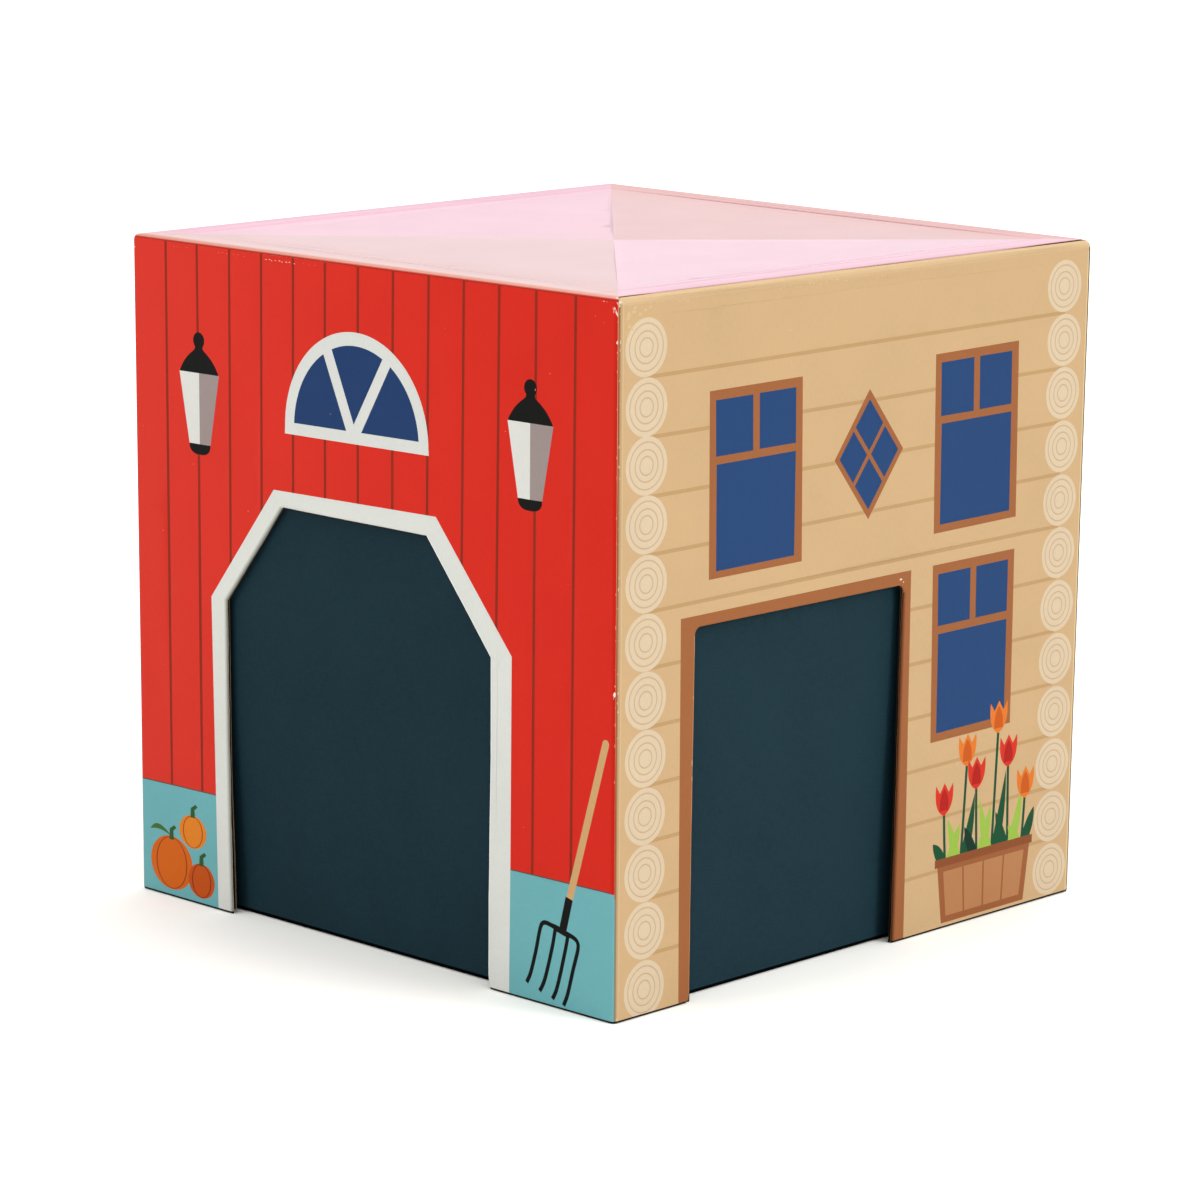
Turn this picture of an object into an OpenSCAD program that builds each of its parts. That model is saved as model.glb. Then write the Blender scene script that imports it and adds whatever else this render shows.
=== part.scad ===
// Toy barn: a printed cardboard cube, open underneath, that lifts off a plain
// rigid storage tray.  Two sides of the cube are cut out as doorways.
// Millimetres, +Z up.  The origin is the middle of the footprint on the table.
// The barn side faces -Y, the log side +X, the yard side +Y, the house side -X.

/* [Barn shell] */
// Outside width and depth of the cube
shell_w = 180; // [150:1:220]
// Outside height of the cube
shell_h = 180; // [150:1:220]
// Outside radius of the folded creases
crease_r = 2.2; // [1.8:0.1:3]
// Printed cover sheet thickness
print_t = 0.15; // [0.1:0.05:0.2]
// Fluted core thickness
flute_t = 1.0; // [0.8:0.1:1.2]
// Kraft inner liner thickness
liner_t = 0.15; // [0.1:0.05:0.2]
// Gap between the roof panel and the three walls it drops between
roof_slit = 0.5; // [0.3:0.1:1]
// How far the tops of those three walls stay under the roof surface
ridge_drop = 0.3; // [0:0.1:0.6]

/* [Barn doorway] */
// Width of the barn doorway
barn_door_w = 99; // [70:1:110]
// Height of the barn doorway
barn_door_h = 113.8; // [90:0.1:125]
// Height at which its sides turn inwards
barn_door_shoulder = 86.1; // [60:0.1:88]
// Width of its flat top
barn_door_top_w = 54.5; // [30:0.5:68]
// Sideways place of its middle
barn_door_x = -3.4; // [-8:0.1:8]

/* [Log doorway] */
// Width of the doorway in the log wall
log_door_w = 78; // [60:1:90]
// Height of the doorway in the log wall
log_door_h = 96.5; // [70:0.5:120]
// Sideways place of its middle
log_door_y = -23.5; // [-30:0.5:-10]
// Radius of its two top corners
log_door_r = 2; // [1:0.5:5]

/* [Flaps] */
// Depth of the three roof flaps
roof_flap = 40; // [20:1:50]
// How far the roof flaps stop short of the corners
flap_relief = 2.7; // [2:0.1:6]
// Width of the glue flap down the rear corner
glue_flap_w = 22; // [14:1:30]
// Taper at both ends of the glue flap
glue_flap_taper = 5; // [2:1:10]

/* [Storage tray] */
// Outside width and depth of the tray
tray_w = 170.6; // [140:0.2:171]
// Height of the tray
tray_h = 174; // [120:1:175]
// Greyboard thickness
tray_board_t = 2; // [1.5:0.1:2.5]
// Wrapping paper thickness
wrap_t = 0.2; // [0.15:0.05:0.3]
// Outside radius of the upright edges
tray_r = 2.4; // [2:0.1:4]
// Depth of the paper turned over the rim
turn_in = 20; // [10:1:30]
// Depth of the paper turned under the floor
under_turn = 15; // [8:1:25]
// Inset of the base sheet from the tray's sides
base_inset = 2.5; // [1:0.5:8]
// Width of each leg of the corner stays
stay_w = 12; // [8:1:20]

/* [Hidden] */

BARN = 0; LOG = 1; YARD = 2; HOUSE = 3;      // quarter turns from -Y
red = "#d73c30"; tan_ = "#dcbb8f"; cream = "#eeeae2"; slate = "#8d8a86";
pink = "#fad7e8"; kraft = "#b48a5c"; teal = "#182f35"; grey = "#8f8a80"; lining_c = "#e4e0d6";

board_t = print_t + flute_t + liner_t;
in_w = shell_w - 2 * board_t;                // clear width inside the shell
fold_z = shell_h - crease_r;                 // where the roof fold starts
ridge_z = shell_h - ridge_drop;
roof_under = shell_h - board_t;
layer_print = [0, print_t];
layer_flute = [print_t, print_t + flute_t];
layer_liner = [print_t + flute_t, board_t];
stay_t = 0.15;
lining_t = 0.2;
floor_z = 2 * wrap_t;                        // base sheet, then the turned-under wrap

// ---------- shared shapes ----------

// a square with rounded corners, taken in by o on every side
module outline(w, r, o) {
  s = w - 2 * o;
  q = max(r - o, 0.25);
  square([s - 2 * q, s], center = true);
  square([s, s - 2 * q], center = true);
  for (x = [-1, 1], y = [-1, 1])
    translate([x * (s / 2 - q), y * (s / 2 - q)]) circle(r = q, $fn = 48);
}

// the band of wall thickness between two depths
module band(w, r, a, b) {
  difference() { outline(w, r, a); outline(w, r, b); }
}

// the quarter of the plan that belongs to one side, split at the corners
module quarter(side) {
  rotate(side * 90) polygon([[0, 0], [-shell_w, -shell_w], [shell_w, -shell_w]]);
}

// one layer of one wall of the shell, before its doorway is cut
module wall_layer(side, layer, top) {
  linear_extrude(height = top) intersection() {
    band(shell_w, crease_r, layer[0], layer[1]);
    quarter(side);
  }
}

// the barn doorway: straight sides, sloping shoulders and a flat top
module barn_doorway() {
  translate([barn_door_x, -shell_w / 2 + 8, 0]) rotate([90, 0, 0])
    linear_extrude(height = 16)
      polygon([[-barn_door_w / 2, -1], [-barn_door_w / 2, barn_door_shoulder],
               [-barn_door_top_w / 2, barn_door_h], [barn_door_top_w / 2, barn_door_h],
               [barn_door_w / 2, barn_door_shoulder], [barn_door_w / 2, -1]]);
}

// the log doorway: a rectangle with two rounded top corners
module log_doorway() {
  w = log_door_w; h = log_door_h; r = log_door_r;
  rotate(90) translate([log_door_y, -shell_w / 2 + 8, 0]) rotate([90, 0, 0])
    linear_extrude(height = 16) {
      translate([-w / 2, -1]) square([w, h + 1 - r]);
      translate([-w / 2 + r, 0]) square([w - 2 * r, h]);
      for (s = [-1, 1]) translate([s * (w / 2 - r), h - r]) circle(r = r, $fn = 32);
    }
}

module barn_wall_layer(layer) {
  difference() { wall_layer(BARN, layer, fold_z); barn_doorway(); }
}

module log_wall_layer(layer) {
  difference() { wall_layer(LOG, layer, ridge_z); log_doorway(); }
}

// one layer of the roof panel with the fold that joins it to the barn wall
module roof_layer(layer) {
  half = in_w / 2 - roof_slit;
  fold_half = shell_w / 2 - crease_r;
  translate([-half, -fold_half, shell_h - layer[1]])
    cube([2 * half, fold_half + half, layer[1] - layer[0]]);
  translate([-fold_half, -fold_half, fold_z]) rotate([90, 0, 90])
    linear_extrude(height = 2 * fold_half) intersection() {
      difference() {
        circle(r = crease_r - layer[0], $fn = 48);
        circle(r = crease_r - layer[1], $fn = 48);
      }
      translate([-crease_r, 0]) square([crease_r, crease_r]);
    }
}

// a roof flap folded in from the top of one side, mitred clear of its neighbours
module roof_flap_panel(side, far_relief) {
  a = in_w / 2;
  rotate(side * 90) translate([0, 0, roof_under - board_t])
    linear_extrude(height = board_t)
      polygon([[-a + far_relief[0], -a], [a - far_relief[1], -a],
               [a - roof_flap - far_relief[1], -a + roof_flap],
               [-a + roof_flap + far_relief[0], -a + roof_flap]]);
}

// ---------- barn shell: fluted core of each panel ----------

module barn_wall_board()  { color(kraft) barn_wall_layer(layer_flute); }
module log_wall_board()   { color(kraft) log_wall_layer(layer_flute); }
module yard_wall_board()  { color(kraft) wall_layer(YARD, layer_flute, ridge_z); }
module house_wall_board() { color(kraft) wall_layer(HOUSE, layer_flute, ridge_z); }
module roof_board()       { color(kraft) roof_layer(layer_flute); }

// ---------- barn shell: printed cover sheet, panel by panel ----------

module barn_wall_print()  { color(red) barn_wall_layer(layer_print); }
module log_wall_print()   { color(tan_) log_wall_layer(layer_print); }
module yard_wall_print()  { color(slate) wall_layer(YARD, layer_print, ridge_z); }
module house_wall_print() { color(cream) wall_layer(HOUSE, layer_print, ridge_z); }
module roof_print()       { color(pink) roof_layer(layer_print); }

// ---------- barn shell: kraft inner liner, panel by panel ----------

module barn_wall_liner()  { color(kraft) barn_wall_layer(layer_liner); }
module log_wall_liner()   { color(kraft) log_wall_layer(layer_liner); }
module yard_wall_liner()  { color(kraft) wall_layer(YARD, layer_liner, ridge_z); }
module house_wall_liner() { color(kraft) wall_layer(HOUSE, layer_liner, ridge_z); }
module roof_liner()       { color(kraft) roof_layer(layer_liner); }

// ---------- barn shell: flaps ----------

module log_roof_flap()   { color(kraft) roof_flap_panel(LOG, [8, flap_relief]); }
module yard_roof_flap()  { color(kraft) roof_flap_panel(YARD, [flap_relief, flap_relief]); }
module house_roof_flap() { color(kraft) roof_flap_panel(HOUSE, [flap_relief, 8]); }

// the strip that closes the tube of four walls, glued inside the house wall
module corner_glue_flap() {
  z0 = 1; z1 = roof_under - board_t - 1.5; t = glue_flap_taper;
  root = crease_r - board_t + 0.3;           // clear of the inside of the crease
  color(kraft) translate([-in_w / 2, in_w / 2 - root, 0]) rotate([90, 0, 90])
    linear_extrude(height = board_t)
      polygon([[0, z0], [-glue_flap_w, z0 + t], [-glue_flap_w, z1 - t], [0, z1]]);
}

// ---------- storage tray ----------

wall_out = tray_w / 2 - wrap_t;              // outside face of the greyboard
wall_in = wall_out - tray_board_t;           // inside face of the greyboard
rim_z = tray_h - wrap_t;                     // top of the greyboard

// the four paper corner stays, bent round the upright corners under the wrap
module stay_band() {
  intersection() {
    band(2 * wall_out, tray_r - wrap_t, 0, stay_t);
    for (x = [-1, 1], y = [-1, 1])
      translate([x * (wall_out - stay_w / 2), y * (wall_out - stay_w / 2)])
        square(stay_w + 0.001, center = true);
  }
}

// greyboard seen from above: the walls less the thickness of the stays
module tray_plan() {
  difference() {
    outline(2 * wall_out, tray_r - wrap_t, 0);
    square(2 * wall_in, center = true);
    stay_band();
  }
}

// front and back walls run the full width
module tray_long_board(s) {
  translate([0, 0, floor_z]) linear_extrude(height = rim_z - floor_z) intersection() {
    tray_plan();
    translate([0, s * (wall_in + wall_out) / 2]) square([tray_w, tray_board_t], center = true);
  }
}

// left and right walls fit between them
module tray_short_board(s) {
  translate([0, 0, floor_z]) linear_extrude(height = rim_z - floor_z) intersection() {
    tray_plan();
    translate([s * (wall_in + wall_out) / 2, 0]) square([tray_board_t, 2 * wall_in], center = true);
  }
}

module tray_front_board() { color(grey) tray_long_board(-1); }
module tray_back_board()  { color(grey) tray_long_board(1); }
module tray_left_board()  { color(grey) tray_short_board(-1); }
module tray_right_board() { color(grey) tray_short_board(1); }

module tray_floor_board() {
  color(grey) translate([-wall_in, -wall_in, floor_z]) cube([2 * wall_in, 2 * wall_in, tray_board_t]);
}

module tray_corner_stays() {
  color(cream) translate([0, 0, floor_z + 1]) linear_extrude(height = rim_z - floor_z - 2) stay_band();
}

// the coloured paper: up the outside, over the rim and down the inside,
// and turned in under the floor
module tray_wrap() {
  color(teal) {
    translate([0, 0, wrap_t]) linear_extrude(height = tray_h - wrap_t)
      difference() { outline(tray_w, tray_r, 0); outline(tray_w, tray_r, wrap_t); }
    translate([0, 0, wrap_t]) linear_extrude(height = wrap_t)
      difference() { outline(tray_w, tray_r, 0); square(tray_w - 2 * under_turn, center = true); }
    translate([0, 0, rim_z]) linear_extrude(height = wrap_t)
      difference() { outline(tray_w, tray_r, 0); square(2 * (wall_in - wrap_t), center = true); }
    translate([0, 0, tray_h - turn_in]) linear_extrude(height = turn_in)
      difference() { square(2 * wall_in, center = true); square(2 * (wall_in - wrap_t), center = true); }
  }
}

// the paper lining of the walls, tucked up to the turned-in edge
module tray_wall_lining() {
  color(lining_c) translate([0, 0, floor_z + tray_board_t])
    linear_extrude(height = tray_h - turn_in - floor_z - tray_board_t)
      difference() { square(2 * wall_in, center = true); square(2 * (wall_in - lining_t), center = true); }
}

module tray_floor_lining() {
  a = wall_in - lining_t;
  color(lining_c) translate([-a, -a, floor_z + tray_board_t]) cube([2 * a, 2 * a, lining_t]);
}

module tray_base_sheet() {
  color(teal) linear_extrude(height = wrap_t) outline(tray_w, tray_r, base_inset);
}

barn_wall_board();
log_wall_board();
yard_wall_board();
house_wall_board();
roof_board();
barn_wall_print();
log_wall_print();
yard_wall_print();
house_wall_print();
roof_print();
barn_wall_liner();
log_wall_liner();
yard_wall_liner();
house_wall_liner();
roof_liner();
log_roof_flap();
yard_roof_flap();
house_roof_flap();
corner_glue_flap();
tray_floor_board();
tray_front_board();
tray_back_board();
tray_left_board();
tray_right_board();
tray_corner_stays();
tray_wrap();
tray_wall_lining();
tray_floor_lining();
tray_base_sheet();
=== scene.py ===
"""Toy barn box: a printed cardboard shell with two doorways that lifts off a plain paper-wrapped tray."""
import math

import bmesh
import bpy
import numpy as np
from mathutils import Matrix, Vector
from mathutils.geometry import delaunay_2d_cdt


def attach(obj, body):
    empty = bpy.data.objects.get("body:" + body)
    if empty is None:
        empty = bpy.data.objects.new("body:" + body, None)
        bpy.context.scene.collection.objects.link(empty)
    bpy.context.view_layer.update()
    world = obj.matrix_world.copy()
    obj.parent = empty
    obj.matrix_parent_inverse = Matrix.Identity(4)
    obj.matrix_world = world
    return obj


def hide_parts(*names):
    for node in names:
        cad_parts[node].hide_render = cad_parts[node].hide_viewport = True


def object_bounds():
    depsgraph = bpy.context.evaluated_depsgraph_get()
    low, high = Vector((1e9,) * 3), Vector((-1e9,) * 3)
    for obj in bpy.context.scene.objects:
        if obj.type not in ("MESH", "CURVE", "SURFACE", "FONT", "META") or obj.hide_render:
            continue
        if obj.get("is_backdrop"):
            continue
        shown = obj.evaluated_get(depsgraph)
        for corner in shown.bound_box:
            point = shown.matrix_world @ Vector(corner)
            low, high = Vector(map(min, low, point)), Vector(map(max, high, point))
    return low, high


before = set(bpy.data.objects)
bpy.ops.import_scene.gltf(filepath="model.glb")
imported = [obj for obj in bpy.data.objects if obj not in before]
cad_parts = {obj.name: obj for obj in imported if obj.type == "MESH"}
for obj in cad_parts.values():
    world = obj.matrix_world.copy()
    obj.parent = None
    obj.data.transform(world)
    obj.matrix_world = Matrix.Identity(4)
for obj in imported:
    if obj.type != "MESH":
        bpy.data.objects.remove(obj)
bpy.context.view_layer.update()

BARN, LOG, YARD, HOUSE = 0, 1, 2, 3
HALF = 90.0            # outside of the shell, mm
RV = 1.35              # outside radius of the upright creases
FLAT = HALF - RV       # where the flat of a wall ends
SMAX = FLAT + RV * math.pi / 4
RF = 0.9               # radius of the fold between barn wall and roof
ARC = RF * math.pi / 2
FOLD_Z = 180.0 - RF
BOARD = 1.3
PRINT_T = 0.15
LINER_D = 1.15
BEAD_Z = 178.75        # where the tops of the other walls start to fold over
BEAD_R, BEAD_R2 = 1.0, 0.3
BEAD_V = BEAD_Z + BEAD_R * math.pi / 2 + BEAD_R2 * math.pi / 2 + 0.62
PITCH = 3.2            # of the flutes

# ------------------------------------------------------------------ colour


def lin(c):
    c = np.asarray(c, float) / 255.0
    return np.where(c <= 0.04045, c / 12.92, ((c + 0.055) / 1.055) ** 2.4)


# how strongly each side is lit, so that a colour as seen becomes a paper colour
LIT = {BARN: 1.32, LOG: 1.78, "roof": 1.66, YARD: 1.0, HOUSE: 1.0}
GLOSS = 0.012          # what the varnish adds to every colour


def ink(rgb, side):
    return np.clip((lin(rgb) - GLOSS) / LIT[side], 0.002, 0.93)


PAPER_EDGE = lin((226, 221, 210))

# ------------------------------------------------------------------ small maths


def smooth(x):
    x = np.clip(x, 0.0, 1.0)
    return x * x * (3 - 2 * x)


def waves(seed, x, y, scale=1.0):
    """A gentle, repeatable unevenness of about -1 to 1."""
    rng = np.random.RandomState(seed)
    out = np.zeros(np.broadcast(x, y).shape)
    for _ in range(5):
        kx, ky = rng.uniform(-1, 1, 2) * 0.055 / scale
        out = out + np.sin(kx * x + ky * y + rng.uniform(0, 6.28)) * rng.uniform(0.5, 1.0)
    return out / 2.6


def seg_distance(x, y, pts):
    """Distance from each point to a polyline."""
    best = np.full(np.shape(x), 1e9)
    for (ax, ay), (bx, by) in zip(pts[:-1], pts[1:]):
        dx, dy = bx - ax, by - ay
        t = np.clip(((x - ax) * dx + (y - ay) * dy) / (dx * dx + dy * dy), 0, 1)
        best = np.minimum(best, np.hypot(x - ax - t * dx, y - ay - t * dy))
    return best


def offset_line(pts, d):
    """The polyline moved to its left by d, with mitred corners."""
    out = []
    n = len(pts)
    for i in range(n):
        normals = []
        for a, b in ((i - 1, i), (i, i + 1)):
            if a >= 0 and b < n:
                dx, dy = pts[b][0] - pts[a][0], pts[b][1] - pts[a][1]
                ln = math.hypot(dx, dy)
                normals.append((-dy / ln, dx / ln))
        nx, ny = sum(q[0] for q in normals), sum(q[1] for q in normals)
        ln = math.hypot(nx, ny)
        nx, ny = nx / ln, ny / ln
        k = d / max(0.3, nx * normals[0][0] + ny * normals[0][1])
        out.append((pts[i][0] + nx * k, pts[i][1] + ny * k))
    return out


def inside(x, y, poly):
    hit = np.zeros(np.shape(x), bool)
    px, py = poly[-1]
    for qx, qy in poly:
        if qy != py:
            cross = (qy > y) != (py > y)
            hit ^= cross & (x < (px - qx) * (y - qy) / (py - qy) + qx)
        px, py = qx, qy
    return hit


def area(poly):
    a = np.asarray(poly)
    x, y = a[:, 0], a[:, 1]
    return 0.5 * np.sum(x * np.roll(y, -1) - y * np.roll(x, -1))


# ------------------------------------------------------------------ doorways, as cut lines



def square_door(left, top, right_top, right_foot, r=2.0):
    pts = [(left, 0.0)]
    pts += [(left + r - r * math.cos(a), top - r + r * math.sin(a)) for a in np.linspace(0, math.pi / 2, 7)]
    pts += [(right_top - r + r * math.sin(a), top - r + r * math.cos(a)) for a in np.linspace(0, math.pi / 2, 7)]
    return pts + [(right_foot, 0.0)]


BARN_CUT = [(-52.5, 0.0), (-53.05, 22.0), (-53.4, 52.0), (-53.5, 85.4), (-31.2, 113.35), (23.3, 113.3), (46.4, 85.5), (46.35, 60.0), (46.02, 40.0), (45.85, 20.0), (45.95, 3.4), (46.2, 1.1), (46.8, 0.0)]
LOG_CUT = [(-63.9, 0.0), (-62.95, 0.45), (-62.6, 1.8), (-62.45, 30.0)] + square_door(-62.2, 95.65, 16.6, 15.1)[1:]
CUTS = {BARN: BARN_CUT, LOG: LOG_CUT}
# the board and the liner behind the print were cut a hair differently
BARN_IN = [(-53.3, 0.0), (-53.4, 30.0), (-53.5, 85.6), (-31.6, 113.1), (23.2, 113.05), (46.15, 85.4), (46.0, 60.0), (45.6, 25.0), (45.6, 0.0)]
LOG_IN = square_door(-62.15, 95.6, 16.6, 15.1)
LOG_IN[0] = (-62.35, 0.0)
CUTS_IN = {BARN: BARN_IN, LOG: LOG_IN}


# ------------------------------------------------------------------ where a wall lies

# how far the real carton is out of square: (x, y) of each upright edge at the foot and at the top
LEAN = {(-1, -1): ((-0.3, 0.0, 0.0), (-0.7, 0.0, 0.0)), (1, -1): ((0.0, 0.1, 0.0), (0.0, 0.0, 0.0)), (1, 1): ((0.0, 0.1, 0.0), (0.2, 2.2, -0.4)), (-1, 1): ((0.2, 0.6, 0.0), (0.4, 2.05, 0.75))}


RISE = 0.45            # the real carton is this much taller than its nominal 180 mm


def lean(p):
    """Row points of the shell, moved by the carton's lean."""
    x, y, z = p[:, 0] / HALF, p[:, 1] / HALF, np.clip(p[:, 2] / 180.0, 0, 1)
    out = p.copy()
    for (sx, sy), (foot, top) in LEAN.items():
        w = (1 + sx * x) * (1 + sy * y) / 4
        for i in range(3):
            out[:, i] += w * (foot[i] * (1 - z) + top[i] * z)
    out[:, 2] += RISE * smooth(p[:, 2] / 18.0)
    return out



def turn(k, a, b):
    """Local (right, outward) to row x, y for side k."""
    x, y = a, -b
    for _ in range(k):
        x, y = -y, x
    return x, y


def bow(k, s, z):
    edge = smooth((FLAT - np.abs(s)) / 14.0)
    out = 0.13 * waves(11 + k, s, z) * edge
    if k == BARN:      # the free legs beside the doorway stand a little proud
        out = out + 0.22 * smooth((70 - z) / 70) * smooth((s - 40) / 8) * edge
        out = out + 0.10 * smooth((60 - z) / 60) * smooth((-47 - s) / 8) * edge
    if k == LOG:
        out = out + 0.18 * smooth((70 - z) / 70) * np.exp(-(((s - 18) / 9.0) ** 2)) * edge
    return out


RIDGE = {
    BARN: ([-90, -40, 0, 50, 90], [0.0, 0.05, -0.04, 0.05, 0.0]),
    LOG: ([-90, -78, -65, -48, -29, -8, 7, 30, 50, 70, 88], [0.12, 0.20, 0.0, 0.08, 0.22, 0.06, 0.0, 0.18, 0.30, 0.12, 0.0]),
    YARD: ([-90, -60, -20, 20, 55, 90], [0.0, -0.25, -0.4, -0.1, 0.05, 0.0]),
    HOUSE: ([-90, -50, 0, 40, 90], [0.0, 0.08, -0.08, 0.08, 0.0]),
}


# how rounded the top corners are: left and right end of each wall
ROUND = {BARN: (1.7, 0.25), LOG: (0.25, 2.3), YARD: (2.3, 1.0), HOUSE: (1.0, 1.7)}


def rounding(k, s):
    out = np.zeros(np.shape(s))
    for r, e in ((ROUND[k][0], SMAX + s), (ROUND[k][1], SMAX - s)):
        q = np.clip(r - e, 0, r)
        out = out + r - np.sqrt(r * r - q * q)
    return out


def lift(k, s, v, inner=False):
    xs, ys = RIDGE[k]
    s = np.asarray(s, float)
    top = np.interp(s, xs, ys) * smooth((v - 110) / 68.0) - 0.9 * rounding(k, s) * smooth((v - 174.5) / 4.5)
    foot = (0.08 + 0.02 * np.sin(s * 0.21 + k) + 0.03 * np.sin(s * 0.067 + 2 * k)) * smooth((5 - v) / 5)
    return top + foot * (0.08 if inner else 1.0)


def crush(k, s, v, inner=False):
    c = np.zeros(np.broadcast(s, v).shape)
    if k in CUTS:
        # one side of each doorway is rolled over much further than the other
        far = smooth((-22 - s) / 12) if k == BARN else smooth((s + 6) / 14) * smooth((95.0 - v) / 3)
        deep, wide = 0.20 + 0.36 * far, 0.34 + 0.61 * far
        e = np.clip(seg_distance(s, v, CUTS[k]) / wide, 0, 1)
        uneven = 1 + 0.16 * np.sin(v * 0.33 + s * 0.2) + 0.1 * np.sin(v * 1.1 - s)
        c = deep * (1 - e) ** 2 * uneven
    low = np.clip((v - 0.1) / 0.7 if inner else v / 0.7, 0, 1)
    c = np.maximum(c, 0.38 * (1 - np.sqrt(np.clip(1 - (1 - low) ** 2, 0, 1))))
    return np.minimum(c, 1.0)


def flare(k, s, v):
    """How far the inner liner has come away from the board beside the doorways."""
    if k == BARN:
        jamb = smooth((s + 60.5) / 7.5) * (s < -40) * smooth((45 - v) / 45)
        other = smooth((53 - s) / 7.0) * (s > 30) * smooth((40 - v) / 40)
        return 0.55 * jamb + 0.3 * other
    if k == LOG:
        return 0.1 * smooth((22 - s) / 7.0) * (s > 0) * smooth((50 - v) / 50)
    return np.zeros(np.broadcast(s, v).shape)


def wall_map(k, loose=False, inner=False):
    """(along, up the sheet, depth) to row millimetres for side k."""

    def at(s, v, d):
        s, v = np.asarray(s, float), np.asarray(v, float)
        d0 = d
        c = crush(k, s, v, inner)
        d = d0 + c * (1 - d0 / BOARD)
        if loose:
            d = d + flare(k, s, v)
            if k == BARN and d0 > LINER_D + 1e-6:      # its edge is torn on the slant beside the doorway
                near = np.clip(1 - seg_distance(s, v, BARN_IN[:3]) / 0.9, 0, 1)
                s = s + near * (0.04 + 0.16 * smooth((64 - v) / 60)) * smooth((80 - v) / 12) * (1 + 0.3 * np.sin(v * 0.9))
        z = v.copy()
        if loose and k == BARN:      # and it stops short of the foot there
            z = z + 0.85 * smooth((s + 62) / 8) * (s < -40) * smooth((4 - v) / 4)
        depth = d + np.zeros_like(s)
        if k != BARN:
            over = v > BEAD_Z
            t = v - BEAD_Z
            a1 = np.clip(t / BEAD_R, 0, math.pi / 2)
            dep = BEAD_R - (BEAD_R - d) * np.cos(a1)
            zz = BEAD_Z + (BEAD_R - d) * np.sin(a1)
            t2 = t - BEAD_R * math.pi / 2
            a2 = np.clip(t2 / BEAD_R2, 0, math.pi / 2)
            r2 = np.maximum(BEAD_R2 - d, 0.05)
            second = t2 > 0
            dep = np.where(second, BEAD_R + r2 * np.sin(a2), dep)
            zz = np.where(second, BEAD_Z + BEAD_R - BEAD_R2 + r2 * np.cos(a2), zz)
            t3 = t2 - BEAD_R2 * math.pi / 2
            third = t3 > 0
            zz = np.where(third, BEAD_Z + BEAD_R - BEAD_R2 - t3, zz)
            depth = np.where(over, dep, depth)
            z = np.where(over, zz, z)
        z = z + lift(k, s, v, inner)
        q = np.maximum(RV - depth, 0.06)
        flat = HALF - depth - q
        ang = np.clip(np.abs(s) - FLAT, 0, None) / RV
        a = np.sign(s) * (np.minimum(np.abs(s), FLAT) * flat / FLAT + q * np.sin(ang))
        b = flat + q * np.cos(ang) + bow(k, s, np.minimum(v, 180))
        x, y = turn(k, a, b)
        return np.stack([x, y, z], -1)

    return at


# ------------------------------------------------------------------ where the roof lies


def sink(x, y):
    """How far the roof lies below its edges."""
    e = HALF - np.maximum(np.abs(x), np.abs(y))
    u, v = np.clip(x / 88.0, -1, 1), np.clip(y / 88.0, -1, 1)
    dish = 1.05 * (1 - u * u) * (1 - v * v) + 0.22 * smooth((e - 8.6 - 0.5 * np.sin(x * 0.05 + 1) * np.cos(y * 0.04)) / 4.2)
    lip = 0.06 * np.exp(-(((e - 8.6) / 0.9) ** 2))
    return dish - lip + 0.07 * waves(40, x, y) * smooth(e / 12)


def roof_map():
    def at(u, v, d):
        u, v = np.asarray(u, float), np.asarray(v, float)
        th = np.clip(v / RF, 0, math.pi / 2)
        r = RF - d
        y = -(HALF - RF) - r * np.cos(th) + np.clip(v - ARC, 0, None)
        z = FOLD_Z + r * np.sin(th)
        x = u.copy()
        out = np.abs(u) > FLAT
        ang = (np.abs(u) - FLAT) / RV
        rho = (RV - RF) + r * np.cos(th) - np.clip(v - ARC, 0, RV - RF)
        x = np.where(out, np.sign(u) * (FLAT + rho * np.sin(ang)), x)
        y = np.where(out, -(FLAT + rho * np.cos(ang)), y)
        e = np.clip(HALF - np.abs(u), 0, None)
        y = y - bow(BARN, u, np.full_like(u, FOLD_Z)) * smooth((ARC + 6 - v) / 6) * np.where(out, 0, 1)
        z = z + lift(BARN, u, FOLD_Z - v) * smooth((ARC + 4 - v) / 4)
        drop = sink(x, y) * smooth((v - ARC) / 3) * smooth(e / 1.0 - 0.5)
        z = z - drop
        # the three free edges are pressed down a little at the very edge
        edge = np.minimum(88.5 - np.abs(x), 88.45 - y)
        z = z - 0.16 * (1 - np.sqrt(np.clip(1 - (1 - np.clip(edge / 0.5, 0, 1)) ** 2, 0, 1))) * (v > ARC) * np.where(out, 0, 1) * (1 - d / BOARD)
        return np.stack([x, y, z], -1)

    return at


# ------------------------------------------------------------------ mesh building


class Bag:
    """Faces of one piece: vertices in mm, faces, a material index and a paper colour per face corner."""

    def __init__(self):
        self.v, self.f, self.m, self.c, self.w, self.uv = [], [], [], [], [], []
        self.n = 0

    def add(self, verts, faces, mat=0, colour=None, wear=None, uv=None):
        verts = np.asarray(verts, float)
        base = self.n
        self.v.append(verts)
        self.n += len(verts)
        self.w.append(np.zeros(len(verts)) if wear is None else np.asarray(wear, float))
        corners = sum(len(f) for f in faces)
        self.f.extend([tuple(int(i) + base for i in f) for f in faces])
        self.m.extend([mat] * len(faces))
        if colour is None:
            colour = np.tile(PAPER_EDGE, (corners, 1))
        colour = np.asarray(colour, float)
        if colour.ndim == 1:
            colour = np.tile(colour, (corners, 1))
        self.c.append(colour)
        self.uv.append(np.full((corners, 2), np.nan) if uv is None else np.asarray(uv, float))


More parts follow.
